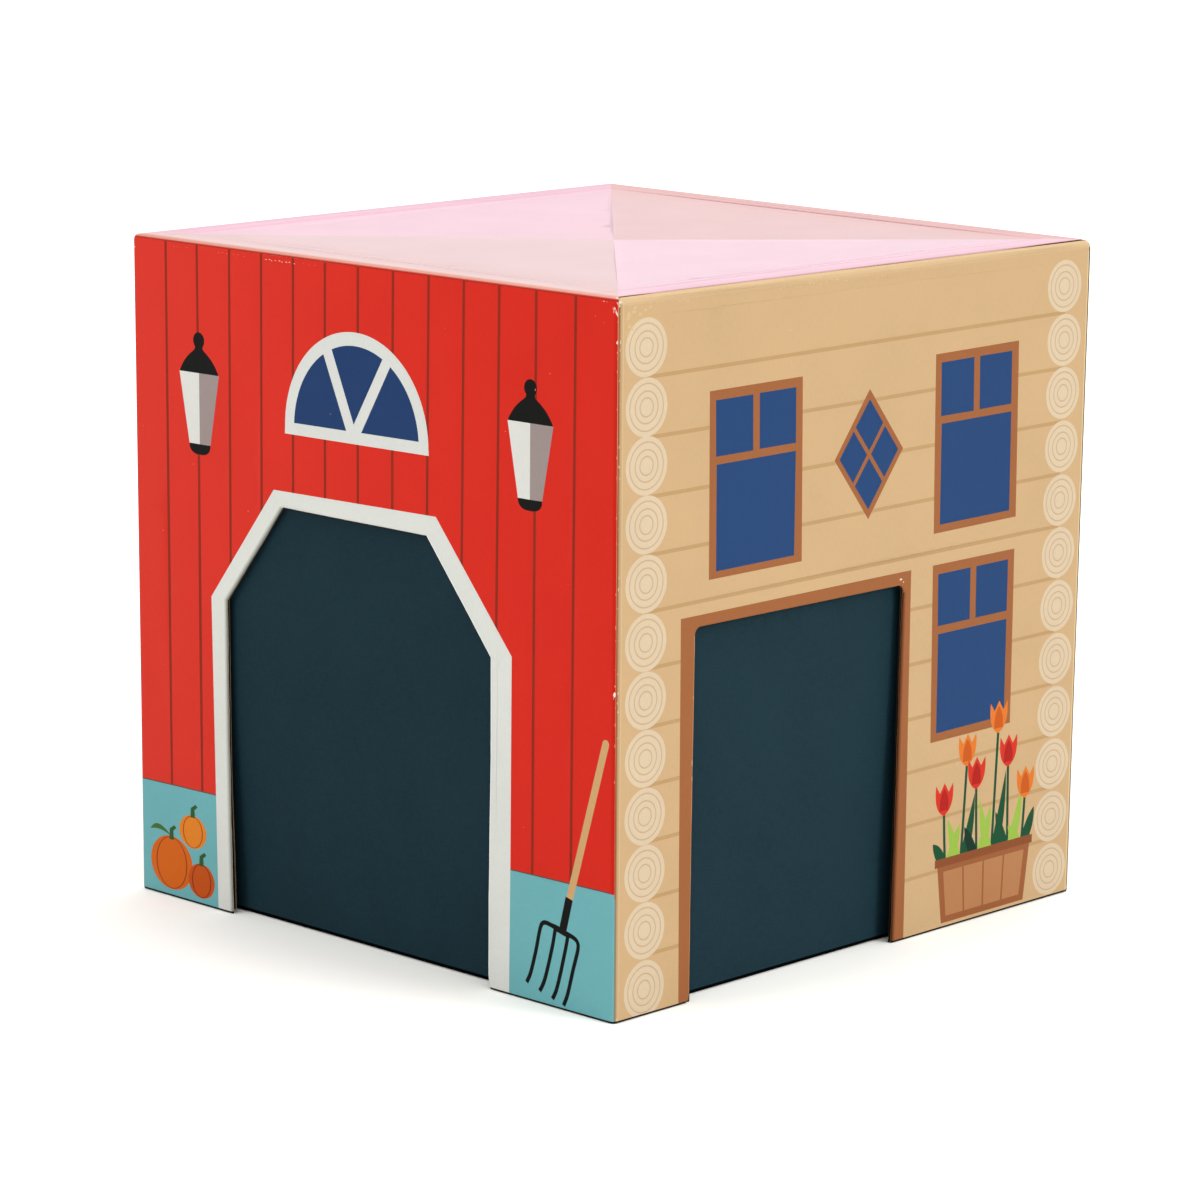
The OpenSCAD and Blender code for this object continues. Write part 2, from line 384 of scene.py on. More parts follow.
def make(name, bag, mats, body, replaces=(), angle=38.0, with_uv=False):
    verts = np.concatenate(bag.v)
    if body == "barn_shell":
        verts = lean(verts)
    verts = verts * 0.001
    me = bpy.data.meshes.new(name)
    me.from_pydata(verts.tolist(), [], bag.f)
    for m in mats:
        me.materials.append(m)
    me.polygons.foreach_set("material_index", np.asarray(bag.m, np.int32))
    colour = np.concatenate(bag.c)
    att = me.attributes.new("ink", "FLOAT_COLOR", "CORNER")
    att.data.foreach_set("color", np.concatenate([colour, np.ones((len(colour), 1))], 1).astype(np.float32).ravel())
    wear = me.attributes.new("wear", "FLOAT", "POINT")
    wear.data.foreach_set("value", np.concatenate(bag.w).astype(np.float32))
    if with_uv:
        uv = me.uv_layers.new(name="OFBake")
        flat = np.concatenate(bag.uv)
        uv.data.foreach_set("uv", np.nan_to_num(flat, nan=0.995).astype(np.float32).ravel())
    me.validate()
    me.shade_smooth()
    me.set_sharp_from_angle(angle=math.radians(angle))
    ob = bpy.data.objects.new(name, me)
    bpy.context.scene.collection.objects.link(ob)
    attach(ob, body)
    if replaces:
        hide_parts(*replaces)
    return ob


def triangulate(outline, art, lines, points):
    verts, edges, faces, tris = [], [], [], []

    def put(pts):
        i = len(verts)
        verts.extend([Vector((float(a), float(b))) for a, b in pts])
        return list(range(i, i + len(pts)))

    for poly in [outline] + [p for _, p in art]:
        poly = list(poly)
        if area(poly) < 0:
            poly = poly[::-1]
        faces.append(put(poly))
    for a, b in lines:
        edges.append(tuple(put([a, b])))
    put(points)
    out = delaunay_2d_cdt(verts, edges, faces, 1, 1e-5, True)
    v2 = np.array([tuple(v) for v in out[0]])
    tris, top = [], []
    for f, ids in zip(out[2], out[5]):
        if 0 in ids:
            tris.append(tuple(f))
    tris = np.array(tris)
    mid_x, mid_y = v2[tris, 0].mean(1), v2[tris, 1].mean(1)
    top = np.zeros(len(tris), int)
    for i, (_, poly) in enumerate(art):
        q = np.asarray(poly)
        (x0, y0), (x1, y1) = q.min(0), q.max(0)
        near = np.flatnonzero((mid_x > x0) & (mid_x < x1) & (mid_y > y0) & (mid_y < y1))
        if len(near):
            top[near[inside(mid_x[near], mid_y[near], [tuple(t) for t in q])]] = i + 1
    a, b, c = v2[tris[:, 0]], v2[tris[:, 1]], v2[tris[:, 2]]
    turned = (b[:, 0] - a[:, 0]) * (c[:, 1] - a[:, 1]) - (b[:, 1] - a[:, 1]) * (c[:, 0] - a[:, 0])
    flip = turned < 0
    tris[flip] = tris[flip][:, ::-1]
    keep = np.abs(turned) > 1e-9
    tris, top = tris[keep], top[keep]
    used = np.unique(tris)
    remap = np.full(len(v2), -1)
    remap[used] = np.arange(len(used))
    return v2[used], remap[tris], top


def sheet(bag, outline, mapper, d0, d1, art=(), base=PAPER_EDGE, lines=(), grid=5.0, mat=0, back_mat=None, rim_mat=None, back=None, edge=None, wear=None, seed=1, extra=()):
    """A thin closed sheet of paper. art is (colour or function of (u, v), polygon) from the bottom up."""
    o = np.asarray(outline, float)
    lo, hi = o.min(0), o.max(0)
    rng = np.random.RandomState(seed)
    gx = np.arange(lo[0] + grid / 2, hi[0], grid)
    gy = np.arange(lo[1] + grid / 2, hi[1], grid)
    px, py = np.meshgrid(gx, gy)
    px = (px + (np.arange(len(gy)) % 2)[:, None] * grid / 2).ravel()
    py = py.ravel()
    px, py = px + rng.uniform(-0.1, 0.1, px.shape) * grid, py + rng.uniform(-0.1, 0.1, py.shape) * grid
    good = inside(px, py, [tuple(p) for p in o]) & (seg_distance(px, py, [tuple(p) for p in o] + [tuple(o[0])]) > grid * 0.3)
    pts = list(zip(px[good], py[good])) + list(extra)
    v2, tris, top = triangulate(outline, art, lines, pts)
    colours = [base] + [c for c, _ in art]
    n = len(v2)
    front = mapper(v2[:, 0], v2[:, 1], d0)
    rear = mapper(v2[:, 0], v2[:, 1], d1)
    w = np.zeros(n) if wear is None else wear(v2[:, 0], v2[:, 1])
    col = np.zeros((len(tris), 3, 3))
    for i, c in enumerate(colours):
        sel = top == i
        if not sel.any():
            continue
        if callable(c):
            p = v2[tris[sel]]
            col[sel] = c(p[..., 0], p[..., 1])
        else:
            col[sel] = np.asarray(c)
    span = max(hi - lo)
    uvf = (v2[tris].reshape(-1, 2) - lo) / span * 0.9 + 0.005
    bag.add(np.concatenate([front, rear]), [tuple(t) for t in tris], mat, col.reshape(-1, 3), np.concatenate([w, w * 0]), uvf)
    off = bag.n - 2 * n
    # back and rim use the same vertices
    seen = {}
    for t in tris:
        for a, b in ((t[0], t[1]), (t[1], t[2]), (t[2], t[0])):
            seen[(a, b)] = True
    rim = [(a, b) for (a, b) in seen if (b, a) not in seen]
    backf = [(t[2] + n + off, t[1] + n + off, t[0] + n + off) for t in tris]
    rimf = [(b + off, a + off, a + n + off, b + n + off) for a, b in rim]
    bm_ = back_mat if back_mat is not None else mat
    uvb = ((v2[tris[:, ::-1]].reshape(-1, 2) - lo) / span) * 0.06 + np.array([0.93, 0.005])
    bag.f.extend([tuple(int(i) for i in f) for f in backf])
    bag.m.extend([bm_] * len(backf))
    bag.c.append(np.tile(PAPER_EDGE if back is None else np.asarray(back, float), (3 * len(backf), 1)))
    bag.uv.append(uvb)
    bag.f.extend([tuple(int(i) for i in f) for f in rimf])
    bag.m.extend([bm_ if rim_mat is None else rim_mat] * len(rimf))
    bag.c.append(np.tile(PAPER_EDGE if edge is None else np.asarray(edge, float), (4 * len(rimf), 1)))
    k = np.arange(len(rimf)) / max(1, len(rimf))
    step = 1.0 / max(1, len(rimf))
    quad = np.stack([np.stack([k + step, k * 0 + 0.0], -1), np.stack([k, k * 0], -1), np.stack([k, k * 0 + 1], -1), np.stack([k + step, k * 0 + 1], -1)], 1)
    bag.uv.append(quad.reshape(-1, 2) * np.array([0.9, 0.02]) + np.array([0.005, 0.95]))


def medium(bag, regions, mapper, d0, d1, mat=0, step=0.27, thick=0.12, row=9.0, rows_at=(), colour=None, phase=0.0):
    """The corrugated middle of the board: a sine-wave sheet between the depths d0 and d1.
    regions are (u0, u1, low(u), high(u)); each is closed on its own."""
    mid, amp = (d0 + d1) / 2, (d1 - d0) / 2 - thick / 2
    for u0, u1, low, high in regions:
        n = max(2, int(math.ceil((u1 - u0) / step)) + 1)
        us = np.linspace(u0, u1, n)
        w = 2 * math.pi / PITCH
        dep = mid + amp * np.sin(w * us + phase)
        slope = amp * w * np.cos(w * us + phase)
        nn = np.sqrt(1 + slope**2)
        du, dd = -slope / nn * thick / 2, 1 / nn * thick / 2
        lows, highs = low(us), high(us)
        m = max(2, int(math.ceil((highs - lows).max() / row)) + 1)
        t = np.linspace(0, 1, m)
        extra = [x for x in rows_at]
        if extra:
            t = np.unique(np.concatenate([t, [(x - lows.min()) / (highs.max() - lows.min()) for x in extra if lows.min() < x < highs.max()]]))
            m = len(t)
        vv = lows[:, None] + (highs - lows)[:, None] * t[None, :]
        front = mapper(np.repeat((us - du)[:, None], m, 1), vv, (dep - dd)[:, None] + 0 * vv)
        rear = mapper(np.repeat((us + du)[:, None], m, 1), vv, (dep + dd)[:, None] + 0 * vv)
        verts = np.concatenate([front.reshape(-1, 3), rear.reshape(-1, 3)])
        N = n * m

        def idx(i, j, back=0):
            return back * N + i * m + j

        faces = []
        for i in range(n - 1):
            for j in range(m - 1):
                faces.append((idx(i, j), idx(i + 1, j), idx(i + 1, j + 1), idx(i, j + 1)))
                faces.append((idx(i, j + 1, 1), idx(i + 1, j + 1, 1), idx(i + 1, j, 1), idx(i, j, 1)))
            faces.append((idx(i, 0, 1), idx(i + 1, 0, 1), idx(i + 1, 0), idx(i, 0)))
            faces.append((idx(i, m - 1), idx(i + 1, m - 1), idx(i + 1, m - 1, 1), idx(i, m - 1, 1)))
        for j in range(m - 1):
            faces.append((idx(0, j, 1), idx(0, j), idx(0, j + 1), idx(0, j + 1, 1)))
            faces.append((idx(n - 1, j), idx(n - 1, j, 1), idx(n - 1, j + 1, 1), idx(n - 1, j + 1)))
        bag.add(verts, faces, mat, colour)


# ------------------------------------------------------------------ drawing helpers, in mm on the sheet


def measured(ds=(0, 0, 0, 0), dz=(0, 0, 0, 0)):
    """Points measured in steps of 0.1125 mm from a wall's top left corner, with small corrections
    that grow along, up and diagonally across the wall."""

    def px(*pts):
        out = []
        for u, v in pts:
            s, z = -90 + 0.1125 * u, 180 - 0.1125 * v
            a, b = s / 90, (z - 90) / 90
            f = (1, a, b, a * b)
            out.append((s + sum(p * q for p, q in zip(f, ds)), z + sum(p * q for p, q in zip(f, dz))))
        return out

    return px


def disc(cx, cy, r, n=48, ry=None, a0=0.0, a1=2 * math.pi, closed=True):
    ry = r if ry is None else ry
    t = np.linspace(a0, a1, n, endpoint=not closed)
    return [(cx + r * math.cos(a), cy + ry * math.sin(a)) for a in t]


def rect(x0, y0, x1, y1):
    return [(x0, y0), (x1, y0), (x1, y1), (x0, y1)]


def stroke(pts, width, ends="flat", taper=1.0):
    pts = [tuple(p) for p in pts]
    n = len(pts)
    left, right = [], []
    for i in range(n):
        a, b = pts[max(0, i - 1)], pts[min(n - 1, i + 1)]
        dx, dy = b[0] - a[0], b[1] - a[1]
        ln = math.hypot(dx, dy)
        w = width / 2 * (1 + (taper - 1) * i / max(1, n - 1))
        left.append((pts[i][0] - dy / ln * w, pts[i][1] + dx / ln * w))
        right.append((pts[i][0] + dy / ln * w, pts[i][1] - dx / ln * w))
    out = list(right)
    if ends == "round":
        for end, prev, s, w in ((pts[-1], pts[-2], 1, width / 2 * taper),):
            a = math.atan2(end[1] - prev[1], end[0] - prev[0])
            out += [(end[0] + w * math.cos(a + t), end[1] + w * math.sin(a + t)) for t in np.linspace(-math.pi / 2, math.pi / 2, 9)[1:-1]]
    out += left[::-1]
    if ends == "round":
        a = math.atan2(pts[0][1] - pts[1][1], pts[0][0] - pts[1][0])
        out += [(pts[0][0] + width / 2 * math.cos(a + t), pts[0][1] + width / 2 * math.sin(a + t)) for t in np.linspace(-math.pi / 2, math.pi / 2, 9)[1:-1]]
    return out


def bez(p0, p1, p2, n=14):
    t = np.linspace(0, 1, n)[:, None]
    p0, p1, p2 = (np.array(p, float) for p in (p0, p1, p2))
    return [tuple(q) for q in (1 - t) ** 2 * p0 + 2 * t * (1 - t) * p1 + t * t * p2]


def blob(cx, cy, r, seed, n=9, stretch=1.0, rough=0.35):
    rng = np.random.RandomState(seed)
    t = np.sort(np.linspace(0, 2 * math.pi, n, endpoint=False) + rng.uniform(-0.25, 0.25, n))
    rr = r * (1 + rng.uniform(-rough, rough, n))
    return [(cx + a * math.cos(b), cy + stretch * a * math.sin(b)) for a, b in zip(rr, t)]


# ------------------------------------------------------------------ the prints


def barn_art():
    A = []
    S = BARN
    px = measured((0.31, -0.31, -0.05, -0.02), (-0.43, 0.21, 0.14, -0.02))

    def add(rgb, poly):
        A.append((ink(rgb, S), poly))

    top_u = [118, 230, 345, 457, 567, 675, 785, 900, 1015, 1127, 1238, 1352, 1472]
    low_u = [113, 225, 333, 440, 548, 660, 773, 887, 1000, 1113, 1225, 1345, 1465]
    line_c = (143, 50, 38)
    for a, b in zip(top_u, low_u):
        (x0, y0), (x1, y1) = px((a, 4), (b, 1320))
        add(line_c, stroke([(x0, FOLD_Z + 0.5), (x1, y1)], 0.9))
    # band along the foot
    add((113, 177, 183), px((-40, 1321), (283, 1316), (1275, 1311), (1640, 1306), (1640, 1700), (-40, 1700)))
    add((112, 74, 66), px((-40, 1317.8), (283, 1312.8), (283, 1316), (-40, 1321)))
    add((112, 74, 66), px((1275, 1307.8), (1640, 1302.8), (1640, 1306), (1275, 1311)))
    # pumpkins
    def pumpkin(cx, cy, rx, ry, body, rib):
        add(body, disc(cx, cy, rx, 56, ry))
        for k in (0.36, 0.74):
            ring = disc(cx, cy, rx * k, 40, ry * 0.97)
            add(rib, ring)
            add(body, disc(cx, cy, rx * k - 0.42, 40, ry * 0.97 - 0.2))
        add((58, 92, 52), [(cx - 0.9, cy + ry * 0.86), (cx + 1.0, cy + ry * 0.86), (cx + 0.8, cy + ry + 1.6), (cx + 2.1, cy + ry + 2.6), (cx + 1.2, cy + ry + 3.2), (cx - 0.7, cy + ry + 2.0)])

    pumpkin(-68.3, 19.4, 5.6, 4.6, (226, 134, 48), (176, 78, 34))
    pumpkin(-77.2, 9.4, 8.7, 7.3, (212, 104, 36), (150, 60, 36))
    pumpkin(-64.9, 6.6, 5.4, 4.7, (196, 86, 34), (140, 52, 34))
    add((74, 112, 58), bez((-77.2, 16.6), (-83.5, 21.5), (-86.0, 17.2)) + bez((-86.0, 17.2), (-82.5, 18.6), (-77.2, 16.6))[1:-1])
    # white trim round the doorway
    add((220, 222, 217), px((268, 833), (492, 550), (1037, 543), (1279, 825), (1274, 1640), (280, 1640)))
    # painted shade along the rolled edge of the print on the left, and a painted highlight along it on the right
    for w, c in ((0.8, (208, 211, 205)), (0.5, (192, 195, 187)), (0.25, (158, 159, 148))):
        add(c, stroke([(-52.5, -1), *BARN_CUT[1:4], (-31.4, 113.1)], 2 * w))
    add((247, 248, 245), stroke([(23.3, 113.3), *BARN_CUT[6:-2]], 0.8))
    # fan window
    cx, cy = 774, 395
    out = [(cx + 240 * math.cos(a), cy - 240 * math.sin(a)) for a in np.linspace(math.pi, 0, 49)]
    add((218, 220, 216), px(*out, (1015, 408), (533, 413)))

    def pane(t0, t1, tail):
        pts = [(cx + 209 * math.cos(math.radians(a)), cy - 209 * math.sin(math.radians(a))) for a in np.linspace(t0, t1, 15)]
        add((42, 66, 109), px(*pts, *tail))

    pane(177.3, 120.6, [(743, 383)])
    pane(112.0, 64.2, [(768, 366)])
    pane(56.2, 4.1, [(793, 382)])
    # lanterns
    for cx, dv in ((232.5, 0.0), (1335.0, -7.5)):
        glass_top, glass_low = 306 + dv, 474 + dv
        half_top, half_low = 70.5, 37.5
        dome = [(70.3, 307), (67, 299.5), (60.5, 290), (52.5, 279.5), (42, 269), (30, 260), (18.5, 252.5), (14, 248), (13.5, 242)]
        left = [(cx - w, v + dv) for w, v in dome]
        right = [(cx + w, v + dv) for w, v in dome[::-1]]
        add((29, 28, 32), px(*left, *right))
        add((29, 28, 32), disc(*px((cx, 228.5 + dv))[0], 2.22, 36))
        foot = [(cx + half_low * np.sign(math.cos(a)) * abs(math.cos(a)) ** 0.75, glass_low - 1 + 26 * abs(math.sin(a)) ** 0.8) for a in np.linspace(0, math.pi, 25)]
        add((29, 28, 32), px(*foot))
        add((222, 222, 217), px((cx - half_top, glass_top), (cx - 0.5, glass_top - 0.5), (cx - 0.5, glass_low), (cx - half_low, glass_low)))
        add((158, 144, 142), px((cx - 0.5, glass_top - 0.5), (cx + half_top, glass_top - 1), (cx + half_low, glass_low - 0.5), (cx - 0.5, glass_low)))
    # hay fork
    add((206, 165, 116), stroke(px((1570, 975), (1461, 1345)), 20 * 0.1125, "round"))
    dark = (25, 24, 27)
    w = 10.6 * 0.1125

    def tine(*pts):
        """A smooth line through the points."""
        q = np.array(px(*pts))
        t = np.concatenate([[0], np.cumsum(np.hypot(*np.diff(q, axis=0).T))])
        u = np.linspace(0, t[-1], 40)
        x, y = np.interp(u, t, q[:, 0]), np.interp(u, t, q[:, 1])
        for _ in range(3):
            x[1:-1] = (x[:-2] + x[1:-1] + x[2:]) / 3
            y[1:-1] = (y[:-2] + y[1:-1] + y[2:]) / 3
        add(dark, stroke(list(zip(x, y)), w))

    tine((1432, 1419), (1410, 1413), (1390, 1409), (1379, 1409), (1373, 1419), (1367, 1442), (1360, 1474), (1352, 1502), (1343, 1531), (1337, 1544), (1330, 1555))
    tine((1419, 1416), (1412, 1452), (1404, 1482), (1396, 1510), (1388, 1535), (1380, 1553), (1371, 1567))
    tine((1458, 1426), (1451, 1458), (1443, 1488), (1436, 1514), (1428, 1541), (1421, 1561), (1411, 1577))
    tine((1440, 1419), (1463, 1424), (1483, 1429), (1491, 1436), (1490, 1451), (1482, 1476), (1473, 1505), (1465, 1535), (1457, 1562), (1446, 1585))
    add(dark, px((1396, 1405.5), (1424, 1409), (1450, 1415), (1474, 1424), (1478, 1431), (1450, 1430), (1420, 1423), (1396, 1413)))
    add(dark, stroke(px((1461, 1341), (1440, 1424)), 22.5 * 0.1125))
    # painted shade at the left crease, dark red over the red and dark turquoise over the band, with bits of the next
    # wall's print
    add((128, 52, 48), rect(-SMAX - 1, 31.0, -89.1, FOLD_Z - 0.8))
    add((92, 124, 122), rect(-SMAX - 1, -1, -89.1, 31.0))
    for z in (162.6, 112.2, 62.6):
        add((70, 66, 68), rect(-SMAX - 1, z - 1.0, -88.9, z + 1.0))
    for z0, z1, c in ((20.5, 29.0, (150, 118, 108)), (12.5, 19.6, (190, 180, 168)), (1.5, 11.6, (140, 106, 98))):
        add(c, rect(-SMAX - 1, z0, -89.1, z1))
    # painted shade: the red drawn dimmer over the last 1.5 mm before the right crease
    add((206, 45, 36), rect(88.5, 32.6, 91, FOLD_Z - 0.4))
    add((198, 43, 34), rect(89.1, 32.6, 91, FOLD_Z - 0.4))
    # white nicks and scuffs in the print
    worn = (238, 226, 220)
    rosy = (226, 142, 128)
    for c, poly in ((rosy, [(88.9, 178.9), (89.9, 179.1), (89.9, 177.9), (89.4, 178.0), (89.1, 178.4)]),
                    (worn, [(89.2, 178.8), (89.9, 179.0), (89.9, 178.2), (89.6, 178.1), (89.45, 178.45)]),
                    (rosy, [(87.75, 177.3), (88.15, 177.7), (88.6, 177.75), (88.85, 177.2), (88.45, 176.9), (88.35, 176.3), (87.9, 176.2), (88.0, 176.8)]),
                    (worn, [(88.3, 177.45), (88.6, 177.5), (88.72, 177.2), (88.45, 177.1)]),
                    (rosy, [(88.6, 176.9), (88.9, 177.1), (89.3, 176.4), (89.6, 175.6), (89.9, 175.1), (89.9, 174.4), (89.5, 174.9), (89.1, 175.6), (88.7, 176.2)]),
                    (worn, [(88.75, 176.6), (88.95, 176.7), (89.25, 176.0), (89.6, 175.3), (89.8, 174.8), (89.55, 175.05), (89.15, 175.75), (88.85, 176.2)]),
                    (rosy, [(89.4, 173.6), (89.9, 173.4), (89.9, 172.2), (89.7, 172.5)])):
        add(c, [(x + 0.2, z) for x, z in poly])
    for i, (x, z, r, st) in enumerate(((86.0, 178.7, 0.2, 0.5), (85.1, 178.75, 0.26, 0.35), (89.45, 169.2, 0.24, 2.0), (89.5, 166.6, 0.14, 2.4), (89.5, 153.0, 0.12, 2.2), (89.3, 83.0, 0.34, 1.9), (89.5, 84.9, 0.16, 2.2), (89.1, 81.9, 0.15, 1.2), (89.5, 61.0, 0.12, 2.4), (-89.0, 176.6, 0.34, 0.7), (-88.9, 167.0, 0.12, 1.3), (89.3, 2.0, 0.12, 1.4), (-88.7, 1.2, 0.14, 1.2))):
        add(worn if r > 0.22 else rosy, blob(x, z, r, 100 + i, stretch=st, rough=0.5))
    for i in range(17):
        q = 89.55 + 0.06 * math.sin(i * 2.3)
        z = 174.0 - i * 6.6 - 2.0 * math.sin(i * 1.9)
        add((228, 128, 112) if z > 32 else (190, 214, 214), blob(q, z, 0.1 + 0.05 * math.sin(i * 1.3), 140 + i, n=7, stretch=3.5, rough=0.5))
    for i, s in enumerate((-36.2, -34.9, -34.1, -32.6, -31.2, -30.1, -28.4, -27.2, -25.4)):
        add((240, 200, 190), blob(s, 177.75 + 0.12 * math.sin(i * 2.1), 0.34, 300 + i, n=7, stretch=0.32, rough=0.5))
    for i, s in enumerate((-72.6, -71.4, -70.0, -67.8, -54.8, -53.3, -51.6, -49.0, -47.2, -44.9, -21.8, -19.9, -17.4)):
        add((228, 118, 104), blob(s, 177.9 + 0.14 * math.sin(i * 2.7), 0.26, 330 + i, n=7, stretch=0.3, rough=0.5))
    for i, (s, z, r) in enumerate(((82.2, 174.9, 0.13), (85.0, 173.6, 0.1), (-12.0, 140.2, 0.1), (15.4, 135.3, 0.12), (73.5, 108.0, 0.1), (61.9, 154.7, 0.2), (-66.0, 120.5, 0.12), (-79.5, 64.0, 0.1), (58.4, 44.0, 0.12), (30.2, 166.6, 0.1))):
        add((232, 120, 105), blob(s, z, r, 400 + i, n=7, stretch=1.4))
    return A


def log_art():
    A = []
    S = LOG
    px = measured((-0.54, -0.60, -0.05, 0.04), (-0.53, 0.11, 0.01, 0.07))

    def add(rgb, poly):
        A.append((ink(rgb, S), poly))

    line_c = (203, 166, 118)
    for a, b in ((174, 164.5), (305, 297), (435, 426.5), (562.5, 552), (688, 678.5), (814, 804), (945, 935), (1076, 1065), (1203, 1192.5), (1332, 1322), (1459.5, 1452)):
        add(line_c, stroke(px((88, a), (1515, b)), 1.0))
    # painted highlight: the top fold is drawn lighter, where it catches the light
    add((232, 199, 155), rect(-SMAX - 1, 178.35, SMAX + 1, BEAD_V + 1))
    add((226, 192, 148), rect(-SMAX - 1, 177.75, SMAX + 1, 178.35))
    # log ends
    lefts = [(86, 109), (88, 239), (89, 366), (90, 495), (91, 625), (91, 755), (92, 884), (93, 1014), (93, 1144), (94, 1273), (95, 1403), (95, 1535)]
    rights = [(1510, 101), (1515, 230), (1516, 357), (1518, 486), (1518, 616), (1520, 744), (1522, 874), (1524, 1004), (1526, 1135), (1526, 1265), (1527, 1396), (1528, 1526)]
    for side, group in enumerate((lefts, rights)):
        k = (1.0, 0.967)[side]
        for c in group:
            (cx, cy), = px(c)
            add((232, 210, 179), disc(cx, cy, 7.22 * k, 72))
        for c in group:
            (cx, cy), = px(c)
            for r in (5.95, 4.08, 2.42):
                add((211, 180, 145), disc(cx, cy, r * k + 0.04, 56))
                add((232, 210, 179), disc(cx, cy, r * k - 0.29, 56))
    brown, blue = (172, 109, 69), (48, 79, 128)

    def window(outer, panes):
        add(brown, px(*outer))
        for p in panes:
            add(blue, px(*p))

    window([(286, 224), (588, 223), (596, 642), (289, 643)], [[(306, 246), (426, 246), (428, 371), (308, 371)], [(447, 245), (567, 245), (569, 370), (449, 370)], [(310, 389), (569, 388), (570, 625), (312, 627)]])
    window([(1046, 219), (1346, 216), (1353, 635), (1055, 639)], [[(1067, 240), (1184, 239), (1187, 365), (1070, 365)], [(1205, 239), (1322, 238), (1324, 363), (1208, 364)], [(1073, 383), (1325, 381), (1328, 617), (1076, 620)]])
    window([(1055, 714), (1352, 712), (1358, 1136), (1062, 1138)], [[(1075, 737), (1192, 736), (1194, 860), (1078, 861)], [(1213, 736), (1330, 735), (1331, 859), (1215, 860)], [(1080, 880), (1331, 879), (1334, 1115), (1082, 1118)]])
    # diamond window: frame, then four panes
    add(brown, px((817, 274), (938, 424), (822, 575), (701, 426)))
    top, right, low, left = np.array((818, 298.0)), np.array((921, 424.0)), np.array((821, 552.0)), np.array((718, 426.0))
    for i, j in ((0, 0), (0, 1), (1, 0), (1, 1)):
        e1, e2 = right - top, left - top
        a0, a1 = (0.0, 0.467) if i == 0 else (0.533, 1.0)
        b0, b1 = (0.0, 0.467) if j == 0 else (0.533, 1.0)
        add(blue, px(*[tuple(top + a * e1 + b * e2) for a, b in ((a0, b0), (a1, b0), (a1, b1), (a0, b1))]))
    # door frame, with the paper showing along its left cut edge; the paler line there is partly a painted highlight
    add(brown, px((201, 718), (978, 714), (980, 1640), (208, 1640)))
    add((208, 155, 117), stroke([(-62.6, 2), (-62.45, 30), (-62.2, 93.6)], 0.7))
    for i, (z, h) in enumerate(((61.5, 2.2), (57.4, 1.4), (40.6, 1.1), (78.0, 0.8), (24.4, 1.2))):
        add((222, 186, 150), blob(-62.6, z, 0.15, 560 + i, n=8, stretch=h / 0.4, rough=0.5))
    # painted shade: the right jamb's rolled edge drawn darker towards the cut
    for w, c in ((0.95, (166, 104, 66)), (0.7, (152, 93, 60)), (0.4, (128, 77, 49)), (0.18, (92, 54, 35))):
        add(c, stroke([(16.6, 93.6), (15.1, -1)], 2 * w))
    # planter with tulips
    green, lime, deep = (38, 88, 60), (166, 202, 84), (30, 62, 50)
    stems = ((36.5, 31, -0.6), (42.5, 43, 0.8), (49.5, 36, -0.5), (55.5, 50, 0.7), (62.5, 40, -0.4), (68.0, 30, 0.6))
    for i, (x, h, b) in enumerate(stems):
        add(green, stroke(bez((x, 15), (x + b, h * 0.6), (x + b * 2.2, h + 1)), 1.0))
    for i, (x, h, b) in enumerate(stems):
        c = (lime, green, lime, green, lime, green)[i]
        hh = 0.62 * h + 8
        add(c, bez((x + 0.6, 15), (x + 6.2, 20), (x + 5.4, hh)) + bez((x + 5.4, hh), (x + 1.6, 24), (x - 1.2, 15))[1:])
        c = (green, lime, deep, lime, green, lime)[i]
        hh = 0.5 * h + 8
        add(c, bez((x - 0.6, 15), (x - 5.4, 19), (x - 5.6, hh)) + bez((x - 5.6, hh), (x - 1.0, 23), (x + 1.2, 15))[1:])
    for i, (x, h, b) in enumerate(stems):
        x = x + b * 2.2
        c, c2 = (((226, 62, 46), (190, 44, 38)), ((238, 132, 56), (214, 100, 40)))[i % 2]
        w, t = 3.5, 8.2
        body = bez((x - w, h + t), (x - w - 0.9, h + 1.2), (x, h - 0.4), 12) + bez((x, h - 0.4), (x + w + 0.9, h + 1.2), (x + w, h + t), 12)[1:]
        body += [(x + w * 0.52, h + t * 0.72), (x, h + t * 1.04), (x - w * 0.52, h + t * 0.72)]
        add(c, body)
        add(c2, bez((x - 1.7, h + 1.0), (x - 2.3, h + 4.6), (x, h + t * 0.86), 9) + bez((x, h + t * 0.86), (x + 2.3, h + 4.6), (x + 1.7, h + 1.0), 9)[1:])
    box = (168, 104, 66)
    add(box, [(33.0, 17.2), (72.0, 17.2), (69.8, 1.4), (35.2, 1.4)])
    add((196, 138, 94), [(35.6, 15.2), (69.6, 15.2), (67.9, 3.2), (37.1, 3.2)])
    for x0, x1 in ((43.8, 44.6), (52.4, 52.5), (61.0, 60.4)):
        add(box, stroke([(x0, 15.4), (x1, 3.0)], 0.65))
    add((150, 88, 56), rect(32.0, 16.6, 73.0, 18.9))
